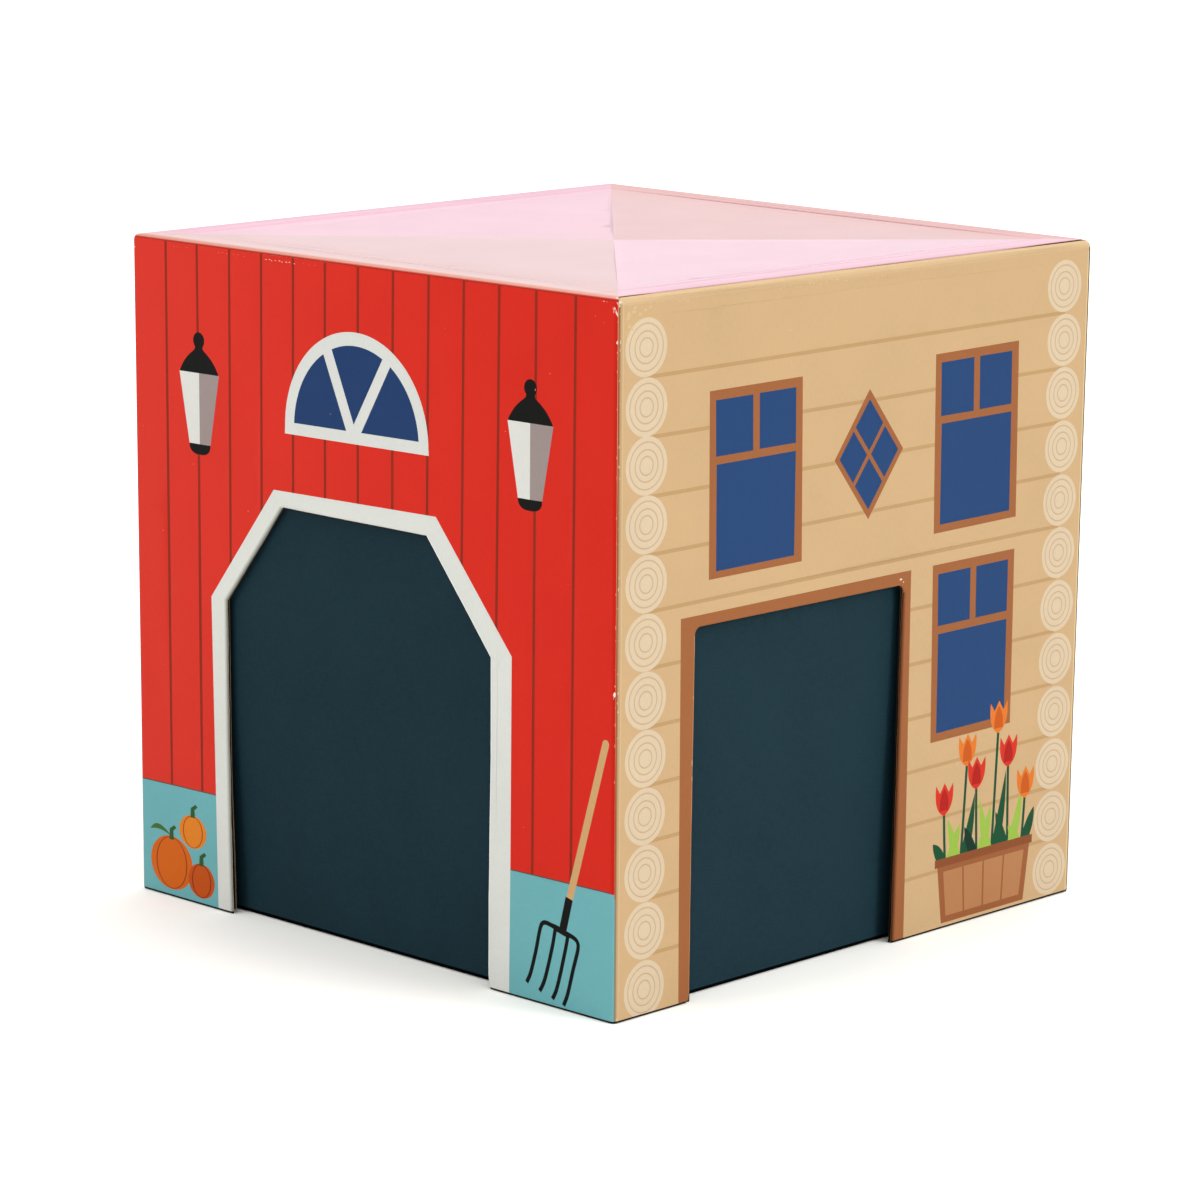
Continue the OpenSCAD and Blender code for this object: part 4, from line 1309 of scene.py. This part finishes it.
def shade_foot(bag, mat, but=None):
    """The last millimetre above the table gets a near-black material: painted contact shade."""
    z = np.concatenate(bag.v)[:, 2]
    for i, f in enumerate(bag.f):
        if bag.m[i] != but and all(z[j] < 1.03 for j in f):
            bag.m[i] = mat


WALLS = {
    BARN: ("barn", barn_art, (215, 51, 41)),
    LOG: ("log", log_art, (220, 185, 140)),
    YARD: ("yard", yard_art, (128, 118, 108)),
    HOUSE: ("house", house_art, (236, 232, 222)),
}

for k, (word, art, ground) in WALLS.items():
    top = FOLD_Z if k == BARN else BEAD_V
    drawn = art()
    if k == BARN:      # the neighbour's print starts a little before the crease
        drawn.append((ink((196, 158, 112), BARN), [(SMAX - 0.02, -1), (SMAX + 1, -1), (SMAX + 1, 181), (SMAX - 0.18, 181)]))
    drawn.append((np.array((0.0045, 0.0035, 0.003)), rect(-SMAX - 1, -1, SMAX + 1, 0.60)))      # painted contact shade: a near-black band along the foot of the print
    lines = wall_lines(k, top) + (cut_lines(k) if k in CUTS else [])
    bag = Bag()
    sheet(bag, split_outline(wall_outline(k, top)), wall_map(k), 0.0, PRINT_T, drawn, barn_red_with_sheen if k == BARN else ink(ground, k), lines, grid=4.2, wear=wall_wear(k), seed=20 + k, back=lin((110, 72, 46)), edge=lin((214, 208, 198)) if k == BARN else lin((150, 112, 78)))
    make(f"{word}_wall_print", bag, [M_PRINT], "barn_shell", [f"{word}_wall_print"], with_uv=True)

    # the fluted middle
    edge = SMAX - 0.15
    hi = lambda u: np.full(np.shape(u), 178.6)
    if k == BARN:
        xs, zs = [p[0] for p in BARN_IN[2:6]], [p[1] for p in BARN_IN[2:6]]
        c0, c1 = xs[0], xs[-1]
        regions = [(-edge, c0, lambda u: 0 * u + 0.02, hi), (c0, c1, lambda u: np.interp(u, xs, zs), hi), (c1, edge, lambda u: 0 * u + 0.02, hi)]
        near = (84, 85, 86, 87, 88, 112, 113, 115, 117)
    elif k == LOG:
        top_pts = LOG_IN[1:-1]
        c0, c1 = top_pts[0][0], top_pts[-1][0]
        regions = [(-edge, c0, lambda u: 0 * u + 0.02, hi), (c0, c1, lambda u: np.interp(u, [p[0] for p in top_pts], [p[1] for p in top_pts]), hi), (c1, edge, lambda u: 0 * u + 0.02, hi)]
        near = (94, 95, 96, 97, 98, 100)
    else:
        regions = [(-edge, edge, lambda u: 0 * u + 0.02, hi)]
        near = ()
    bag = Bag()
    medium(bag, regions, wall_map(k, inner=True), PRINT_T, LINER_D, rows_at=(0.3, 0.62, 0.85, 1.2) + tuple(near))
    shade_foot(bag, 1)
    make(f"{word}_wall_board", bag, [M_FLUTE, M_FOOT_SHADE], "barn_shell", [f"{word}_wall_board"])

    # the kraft liner inside
    liner_top = 178.68
    lines = [((s, 0.0), (s, liner_top)) for c in CREASE[::2] for s in (-c, c)] + (cut_lines(k, (0.3, 0.8, 1.6, 3.0, 5.0), CUTS_IN) if k in CUTS else [])
    lines += [((-SMAX, 0.9), (SMAX, 0.9))] if k not in CUTS else [((-SMAX, 0.9), (CUTS_IN[k][0][0], 0.9)), ((CUTS_IN[k][-1][0], 0.9), (SMAX, 0.9))]
    bag = Bag()
    sheet(bag, split_outline(wall_outline(k, liner_top, CUTS_IN), 3.0), wall_map(k, loose=True, inner=True), LINER_D, BOARD, (), PAPER_EDGE, lines, grid=7.0, mat=1, back_mat=0, rim_mat=1 if k == LOG else 2, seed=60 + k)
    shade_foot(bag, 3, but=2 if k == BARN else None)
    make(f"{word}_wall_liner", bag, [M_KRAFT, M_INNER_SIDE_SHADE, M_TORN, M_FOOT_SHADE], "barn_shell", [f"{word}_wall_liner"])


# ------------------------------------------------------------------ the roof


def roof_edge_x(y, side):
    """How far the roof panel reaches towards the log side (+1) or the house side (-1)."""
    gap = 0.14 + 0.05 * np.sin(y * 0.09 + side)
    if side > 0:
        gap = gap + 0.55 * smooth((-76.0 - y) / 8) + 0.42 * smooth((y - 58) / 20)
    else:
        gap = gap + 0.3 * smooth((y - 70) / 10) + 0.3 * smooth((-76 - y) / 8)
    return 88.62 - gap


V0 = lambda y: y + (HALF - RF) + ARC     # sheet coordinate of a flat roof point
ys = np.linspace(-88.2, 86.9, 60)
right_side = [(float(roof_edge_x(y, 1)), float(V0(y))) for y in ys]
left_side = [(-float(roof_edge_x(y, -1)), float(V0(y))) for y in ys[::-1]]
top_y = 88.45
xr, xl = right_side[-1][0], left_side[0][0]
round_r = [(xr - 1.5 + 1.5 * math.cos(a), V0(top_y - 1.5 + 1.5 * math.sin(a))) for a in np.linspace(0, math.pi / 2, 7)]
round_l = [(xl + 1.5 - 1.5 * math.sin(a), V0(top_y - 1.5 + 1.5 * math.cos(a))) for a in np.linspace(0, math.pi / 2, 7)]
back_side = [(float(x), float(V0(top_y - 0.05 * math.sin(x * 0.08)))) for x in np.linspace(xr - 3, xl + 3, 40)]
base_l = np.linspace(-SMAX, SMAX, 121)
ear = ARC + RV - RF - 0.03
ROOF_OUT = [(float(x), 0.0) for x in base_l] + [(SMAX, ARC), (SMAX, ear), (FLAT, ear)]
ROOF_OUT += right_side + round_r[1:-1] + back_side + round_l[1:-1] + left_side + [(-FLAT, ear), (-SMAX, ear), (-SMAX, ARC)]

lines = []
for v in [ARC * t for t in np.linspace(0, 1, 7)[1:]] + [ARC + q for q in (0.4, 0.9, 1.6, 2.6, 4.0, 6.0, 7.4, 8.2, 8.8, 9.4, 10.2, 11.0, 12.0, 13.5)]:
    lines.append(((-SMAX, v), (SMAX, v)))
for x in [FLAT + RV * a for a in np.linspace(0, math.pi / 4, 5)[:-1]]:
    lines += [((x, 0.0), (x, ear)), ((-x, 0.0), (-x, ear))]
for e in (1.55, 1.75, 2.0, 2.4, 3.2, 4.6, 6.5, 8.0, 9.0, 9.8, 10.6, 11.4, 12.4, 14.0):
    lines += [((90 - e, 1.5), (90 - e, V0(90))), ((e - 90, 1.5), (e - 90, V0(90))), ((-90, V0(90 - e)), (90, V0(90 - e)))]
mid = (0.0, float(V0(0.0)))
c0, c1, c2, c3 = (-91.0, float(V0(-91))), (91.0, float(V0(-91))), (91.0, float(V0(91))), (-91.0, float(V0(91)))
tone = {k: roof_colour(k) for k in (BARN, LOG, YARD, HOUSE)}
art = [(tone[BARN], [c0, c1, mid]), (tone[LOG], [c1, c2, mid]), (tone[YARD], [c2, c3, mid]), (tone[HOUSE], [c3, c0, mid])]
worn = ink((255, 240, 234), "roof")
for i, (x, y, r, st) in enumerate(((88.7, -88.9, 0.5, 0.8), (89.0, -89.6, 0.4, 0.6), (-88.9, -88.9, 0.3, 0.8), (-30.0, -88.9, 0.2, 0.3), (12.0, -88.8, 0.18, 0.4), (60.0, -88.9, 0.25, 0.3))):
    art.append((worn, blob(x, float(V0(y)), r, 700 + i, stretch=st)))


def roof_wear(u, v):
    y = -(HALF - RF) + (v - ARC)
    w = 0.30 * np.exp(-((v - 0.9) / 0.6) ** 2)
    e = np.minimum(88.6 - np.abs(u), 88.45 - y)
    w = np.maximum(w, 0.26 * np.exp(-(e / 0.4) ** 2) * (v > ARC))
    return np.maximum(w, 0.5 * np.exp(-((SMAX - np.abs(u)) ** 2 + (v - 0.8) ** 2) / 1.6))


bag = Bag()
sheet(bag, ROOF_OUT, roof_map(), 0.0, PRINT_T, art, tone[BARN], lines, grid=4.2, wear=roof_wear, seed=31, back=lin((120, 78, 52)), edge=lin((190, 138, 128)))
make("roof_print", bag, [M_ROOF], "barn_shell", ["roof_print"], with_uv=True)

flat_v = lambda y: V0(y)
bag = Bag()
medium(bag, [(-88.0, 88.0, lambda u: 0 * u + 0.05, lambda u: 0 * u + V0(88.1))], roof_map(), PRINT_T, LINER_D, row=6.0, rows_at=[ARC * t for t in (0.25, 0.5, 0.75, 1.0, 1.4)] + [10, 11, 12, 13])
make("roof_board", bag, [M_FLUTE], "barn_shell", ["roof_board"])
out = [(-88.1, 1.0), (88.1, 1.0), (88.1, V0(88.1)), (-88.1, V0(88.1))]
lines = [((-88.1, v), (88.1, v)) for v in (1.2, ARC, 2.2, 4, 8, 10, 11, 12, 13)] + [((s * (90 - e), 1.0), (s * (90 - e), V0(88.1))) for e in (8, 9.3, 10.4, 11.5, 13) for s in (-1, 1)]
bag = Bag()
sheet(bag, split_outline(out, 4.0), roof_map(), LINER_D - 0.30, BOARD - 0.30, (), PAPER_EDGE, lines, grid=7.0, seed=33)
for v in bag.v:        # the liner lies under the flutes on the flat of the roof
    v[:, 2] -= 0.30
make("roof_liner", bag, [M_KRAFT_ROOF], "barn_shell", ["roof_liner"])


# ------------------------------------------------------------------ flaps


def flap_map(k):
    def at(s, t, d):
        s, t = np.asarray(s, float), np.asarray(t, float)
        x, y = turn(k, s, 88.7 - t)
        z = 178.66 - d - sink(x, y) - 0.10 * smooth(t / 30)
        return np.stack([x, y, z + 0 * x], -1)

    return at


A0 = 88.7
for k, word, (r0, r1) in ((LOG, "log", (8, 2.7)), (YARD, "yard", (2.7, 2.7)), (HOUSE, "house", (2.7, 8))):
    poly = [(-A0 + r0, 0.02), (A0 - r1, 0.02), (A0 - 40 - r1, 40.0), (-A0 + 40 + r0, 40.0)]
    # two rounded outer corners
    rounded = []
    for i, p in enumerate(poly):
        if i < 2:
            rounded.append(p)
            continue
        a, b = np.array(poly[i - 1], float), np.array(poly[(i + 1) % 4], float)
        q = np.array(p, float)
        ua, ub = (a - q) / np.linalg.norm(a - q), (b - q) / np.linalg.norm(b - q)
        rounded += bez(tuple(q + ua * 4), tuple(q), tuple(q + ub * 4), 7)
    m = flap_map(k)
    mats = [M_FLAP, M_KRAFT, M_FLUTE]
    bag = Bag()
    sheet(bag, split_outline(rounded, 4.0), m, 0.0, PRINT_T, (), PAPER_EDGE, (), grid=6.0, mat=0, back_mat=0, seed=70 + k)
    sheet(bag, split_outline(rounded, 4.0), m, LINER_D, BOARD, (), PAPER_EDGE, (), grid=6.0, mat=1, back_mat=1, seed=80 + k)
    lowu = lambda u: 0 * u + 0.05

    def highu(u, r0=r0, r1=r1):
        return np.clip(np.minimum(u - (-A0 + r0), (A0 - r1) - u), 0.3, 39.9)

    medium(bag, [(-A0 + r0 + 0.4, A0 - r1 - 0.4, lowu, highu)], m, PRINT_T, LINER_D, mat=2, row=8.0)
    make(f"{word}_roof_flap", bag, mats, "barn_shell", [f"{word}_roof_flap"])


def glue_map(t, z, d):
    t, z = np.asarray(t, float), np.asarray(z, float)
    x = -88.7 + BOARD - d + 0.03
    y = 88.7 - 1.2 - t
    return np.stack([x + 0 * t, y, z + 0 * t], -1)


def glue_flip(u, v, d):
    return glue_map(-np.asarray(u, float), v, d)


poly = [(0.0, 1.0), (0.0, 175.9), (-22.0, 170.9), (-22.0, 6.0)]
bag = Bag()
sheet(bag, split_outline(poly, 5.0), glue_flip, 0.0, 0.15, (), PAPER_EDGE, (), grid=7.0, mat=0, back_mat=0, seed=91)
sheet(bag, split_outline(poly, 5.0), glue_flip, 1.15, 1.3, (), PAPER_EDGE, (), grid=7.0, mat=1, back_mat=1, seed=92)
medium(bag, [(-21.9, -0.1, lambda u: 1.1 + 5 * (-u) / 22, lambda u: 175.8 - 5 * (-u) / 22)], glue_flip, 0.15, 1.15, mat=2, row=20.0)
make("corner_glue_flap", bag, [M_KRAFT, M_STAY, M_FLUTE], "barn_shell", ["corner_glue_flap"])


# ------------------------------------------------------------------ the tray

TW, TR, TH, WRAP = 85.3, 2.4, 174.0, 0.2


def swell(k, t, z):
    """How far a tray wall bulges between its corners; the two front walls bulge most."""
    most, by = {BARN: (2.3, 72.0), LOG: (1.55, 95.0)}.get(k, (0.5, 80.0))
    up = np.asarray(z, float)
    return most * (1 - np.abs(np.clip(t, -1, 1)) ** 6) * smooth(up / by) * (1 - 0.78 * smooth((up - 112) / 58))


def ring(o, z, bulge=1.0, flat_n=26, arc_n=8):
    """Points once round the tray at inset o."""
    h, q = TW - o, max(TR - o, 0.25)
    pts = []
    for k in range(4):
        f = h - q
        t = np.linspace(-1, 1, flat_n)
        a = t * f
        b = np.full_like(a, h) + bulge * swell(k, t, z) + bulge * 0.03 * np.sin(t * 9 + k + z * 0.05) * (1 - t**2)
        ph = np.linspace(0, math.pi / 2, arc_n + 2)[1:-1]
        a = np.concatenate([a, f + q * np.sin(ph)])
        b = np.concatenate([b, f + q * np.cos(ph)])
        x, y = turn(k, a, b)
        pts.append(np.stack([x, y, np.full_like(x, z)], -1))
    return np.concatenate(pts)


def arc(cx, cz, r, a0, a1, n=6):
    return [(cx + r * math.cos(a), cz + r * math.sin(a)) for a in np.linspace(a0, a1, n)]


def skin(bag, profile, thick, mat=0, wear=None, flat_fade=2.0):
    """A sheet wrapped once round the tray, following a profile of (inset, height), thickened to its right."""
    P = np.array(profile, float)
    T = np.gradient(P, axis=0)
    T /= np.linalg.norm(T, axis=1)[:, None]
    N = np.stack([T[:, 1], -T[:, 0]], 1) * thick
    Q = P + N
    fade = lambda o: max(0.0, 1 - max(0.0, o) / flat_fade)
    outer = np.concatenate([ring(o, z, fade(o)) for o, z in P])
    inner = np.concatenate([ring(o, z, fade(o)) for o, z in Q])
    m = len(outer) // len(P)
    n = len(P)
    N_ = n * m
    faces = []
    for i in range(n - 1):
        for j in range(m):
            a, b = i * m + j, i * m + (j + 1) % m
            c, d = b + m, a + m
            faces.append((a, d, c, b))
            faces.append((a + N_, b + N_, c + N_, d + N_))
    for j in range(m):
        b = (j + 1) % m
        faces.append((j, b, b + N_, j + N_))
        e = (n - 1) * m
        faces.append((e + b, e + j, e + j + N_, e + b + N_))
    w = None
    if wear is not None:
        w = np.concatenate([np.repeat([wear(o, z) for o, z in P], m), np.zeros(N_)])
    bag.add(np.concatenate([outer, inner]), faces, mat, None, w)
    return outer, inner


# from the turned-in edge up, over the rim, down the outside and under the floor
prof = [(2.4, z) for z in (154.0, 156, 160, 166, 171)]
prof += arc(1.9, 173.5, 0.5, 0.0, math.pi / 2, 6)
prof += arc(0.7, 173.3, 0.7, math.pi / 2, math.pi, 7)
prof += [(0.0, z) for z in np.linspace(171, 4, 36)]
prof += [(0.0, 2.2)] + arc(1.1, 1.3, 1.1, math.pi, 1.5 * math.pi, 13)
prof += [(o, 0.2) for o in (2.0, 5.0, 9.0, 13.0, 15.0)]
bag = Bag()


def tray_wear(o, z):
    top = math.exp(-(((z - 173.7) / 0.7) ** 2)) * (0.5 < o + 0.6)
    low = math.exp(-(((z - 0.5) / 0.5) ** 2)) * (o < 1)
    return 0.42 * max(top, low)


skin(bag, prof, WRAP, 0, tray_wear)
for i, f in enumerate(bag.f):      # the turned-under edge gets a near-black paper: painted contact shade
    if all(bag.v[0][j][2] < 1.32 for j in f) and any(bag.v[0][j][2] > 0.19 for j in f):
        bag.m[i] = 1
# the overlaps of the covering paper: strips round each upright corner on two sides
def lap(bag, side, sign, o0, z0, z1, width):
    cols = []
    f = TW - TR
    for t in np.concatenate([np.linspace(0, math.pi / 2, 9)[:-1], [math.pi / 2]]):
        cols.append((f + TR * math.cos(t), f + TR * math.sin(t)))
    cols += [(f - q, f + TR) for q in np.linspace(0, width - TR, 6)[1:]]
    cols = np.array(cols)
    zs = np.linspace(z0, z1, 30)
    t_all = []
    for d in (-0.09, 0.02):
        pts = []
        for i, (p, q) in enumerate(cols):
            for z in zs:
                # a local (along, outward) pair on this side
                n_ = np.array([max(0, p - f), max(0, q - f)])
                ln = np.linalg.norm(n_)
                n_ = n_ / ln if ln > 1e-9 else np.array([0, 1.0])
                t = min(1, p / f)
                out_by = swell(side, t, z) if q >= f + TR - 1e-6 else 0
                a, b = p - n_[0] * d, q - n_[1] * d + out_by
                x, y = turn(side, sign * a, b)
                pts.append((x, y, z))
        t_all.append(np.array(pts))
    m, n = len(zs), len(cols)
    N_ = n * m
    faces = []
    for i in range(n - 1):
        for j in range(m - 1):
            a, b, c, d = i * m + j, (i + 1) * m + j, (i + 1) * m + j + 1, i * m + j + 1
            f1 = (a, b, c, d) if sign < 0 else (d, c, b, a)
            faces.append(f1)
            faces.append(tuple(q + N_ for q in f1[::-1]))
    loop = [i * m for i in range(n)] + [(n - 1) * m + j for j in range(1, m)] + [i * m + m - 1 for i in range(n - 2, -1, -1)] + [j for j in range(m - 2, 0, -1)]
    for a, b in zip(loop, loop[1:] + loop[:1]):
        faces.append((b, a, a + N_, b + N_) if sign < 0 else (a, b, b + N_, a + N_))
    bag.add(np.concatenate(t_all), faces, 0)


for side in (LOG, HOUSE):
    for sign in (-1, 1):
        lap(bag, side, sign, 0, 1.0, 173.0, 13.0)
make("tray_wrap", bag, [M_TEAL, M_TRAY_FOOT_SHADE], "tray", ["tray_wrap"], angle=32)


def board_box(name, lo, hi, bevel, replaces, side=None):
    bm = bmesh.new()
    bmesh.ops.create_cube(bm, size=1.0)
    lo, hi = np.array(lo, float) * 0.001, np.array(hi, float) * 0.001
    for v in bm.verts:
        for i in range(3):
            v.co[i] = lo[i] if v.co[i] < 0 else hi[i]
    bmesh.ops.bevel(bm, geom=bm.edges[:], offset=bevel * 0.001, segments=3, profile=0.6, affect="EDGES")
    for axis in range(3):
        size = (hi - lo)[axis]
        for c in np.arange(lo[axis] + 0.012, hi[axis], 0.012):
            if size > 0.02:
                no = [0, 0, 0]
                no[axis] = 1
                co = [0, 0, 0]
                co[axis] = c
                bmesh.ops.bisect_plane(bm, geom=bm.verts[:] + bm.edges[:] + bm.faces[:], plane_co=co, plane_no=no)
    bm.verts.ensure_lookup_table()
    for v in bm.verts:      # the slight unevenness of pressed pulp board
        p = v.co * 1000
        q = 0.02 * math.sin(p.x * 0.31 + p.z * 0.17) + 0.02 * math.sin(p.y * 0.27 - p.z * 0.23)
        v.co = v.co - v.normal * 0.001 * (0.02 + q)
        if side is not None:      # the board bows with the covering paper
            along = (p.x, p.y, -p.x, -p.y)[side] / (TW - TR)
            ox, oy = turn(side, 0.0, 1.0)
            v.co += Vector((ox, oy, 0.0)) * (0.001 * float(swell(side, along, p.z)))
    me = bpy.data.meshes.new(name)
    bm.to_mesh(me)
    bm.free()
    me.materials.append(M_GREY)
    me.shade_smooth()
    me.set_sharp_from_angle(angle=math.radians(40))
    ob = bpy.data.objects.new(name, me)
    bpy.context.scene.collection.objects.link(ob)
    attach(ob, "tray")
    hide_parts(*replaces)


wo, wi = 85.1, 83.1
board_box("tray_front_board", (-wo + 0.6, -wo, 0.62), (wo - 0.6, -wi, 173.75), 0.75, ["tray_front_board"], BARN)
board_box("tray_back_board", (-wo + 0.6, wi, 0.62), (wo - 0.6, wo, 173.75), 0.75, ["tray_back_board"], YARD)
board_box("tray_left_board", (-wo, -wi, 0.62), (-wi, wi, 173.75), 0.75, ["tray_left_board"], HOUSE)
board_box("tray_right_board", (wi, -wi, 0.62), (wo, wi, 173.75), 0.75, ["tray_right_board"], LOG)
board_box("tray_floor_board", (-wi, -wi, 0.42), (wi, wi, 2.38), 0.25, ["tray_floor_board"])

for node, mat in (("tray_corner_stays", M_STAY), ("tray_wall_lining", M_LINING), ("tray_floor_lining", M_LINING), ("tray_base_sheet", M_BASE)):
    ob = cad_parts[node]
    ob.data.materials.clear()
    ob.data.materials.append(mat)


# ------------------------------------------------------------------ studio


def stage_floor():
    me = bpy.data.meshes.new("floor")
    s = 14.0
    me.from_pydata([(-s, -s, 0), (s, -s, 0), (s, s, 0), (-s, s, 0)], [], [(0, 1, 2, 3)])
    n = Nodes("floor_paper")
    g = n.noise(n.obj, 6.0, 2.0, 0.5)
    tone = n.mix(g, (0.880, 0.880, 0.848), (0.896, 0.896, 0.866))
    n.set(Base_Color=tone, Roughness=0.9)
    n.b.inputs["Specular IOR Level"].default_value = 0.0
    me.materials.append(n.m)
    ob = bpy.data.objects.new("floor", me)
    bpy.context.scene.collection.objects.link(ob)
    ob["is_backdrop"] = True


stage_floor()

world = bpy.data.worlds.new("studio")
world.use_nodes = True
wt = world.node_tree
wt.nodes.clear()
w_out = wt.nodes.new("ShaderNodeOutputWorld")
w_bg = wt.nodes.new("ShaderNodeBackground")
w_bg.inputs[0].default_value = (1.0, 0.995, 0.985, 1)
w_bg.inputs[1].default_value = 0.15
wt.links.new(w_bg.outputs[0], w_out.inputs[0])
bpy.context.scene.world = world


def sun(name, azimuth, elevation, strength, angle, colour=(1, 1, 1)):
    L = bpy.data.lights.new(name, "SUN")
    L.energy = strength
    L.angle = math.radians(angle)
    L.color = colour
    ob = bpy.data.objects.new(name, L)
    a, e = math.radians(azimuth), math.radians(elevation)
    d = Vector((math.sin(a) * math.cos(e), -math.cos(a) * math.cos(e), math.sin(e)))
    ob.location = d * 3
    ob.rotation_mode = "QUATERNION"
    ob.rotation_quaternion = (-d).to_track_quat("-Z", "Y")
    bpy.context.scene.collection.objects.link(ob)


sun("top", 150, 80, 3.85, 110, (1.0, 0.995, 0.985))
sun("right", 109, 21, 2.2, 28, (1.0, 0.99, 0.975))
sun("left", -22, 24, 1.3, 32, (1.0, 0.995, 0.985))

# ------------------------------------------------------------------ camera

H = 0.18
az, el, roll = math.radians(44.22), math.radians(11.42), math.radians(0.39)
back = Vector((math.sin(az) * math.cos(el), -math.cos(az) * math.cos(el), math.sin(el)))
right0 = Vector((math.cos(az), math.sin(az), 0))
up0 = back.cross(right0)
right = right0 * math.cos(roll) + up0 * math.sin(roll)
up = -right0 * math.sin(roll) + up0 * math.cos(roll)
eye = back * (6.616 * H) + right * (-0.013 * H) + up * (-0.05 * H) + Vector((0, 0, 0.09045))
cam = bpy.data.cameras.new("camera")
cam.sensor_fit = "HORIZONTAL"
cam.sensor_width = 36.0
cam.lens = 4396.0 / 1200.0 * 36.0
cam.clip_start, cam.clip_end = 0.05, 60
cam_ob = bpy.data.objects.new("camera", cam)
rot = Matrix((right, up, back)).transposed()
cam_ob.matrix_world = Matrix.Translation(eye) @ rot.to_4x4()
bpy.context.scene.collection.objects.link(cam_ob)
bpy.context.scene.camera = cam_ob

scene = bpy.context.scene
scene.view_settings.view_transform = "Standard"
scene.view_settings.look = "None"
scene.view_settings.exposure = 0.0
scene.view_settings.gamma = 1.0

lo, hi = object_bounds()
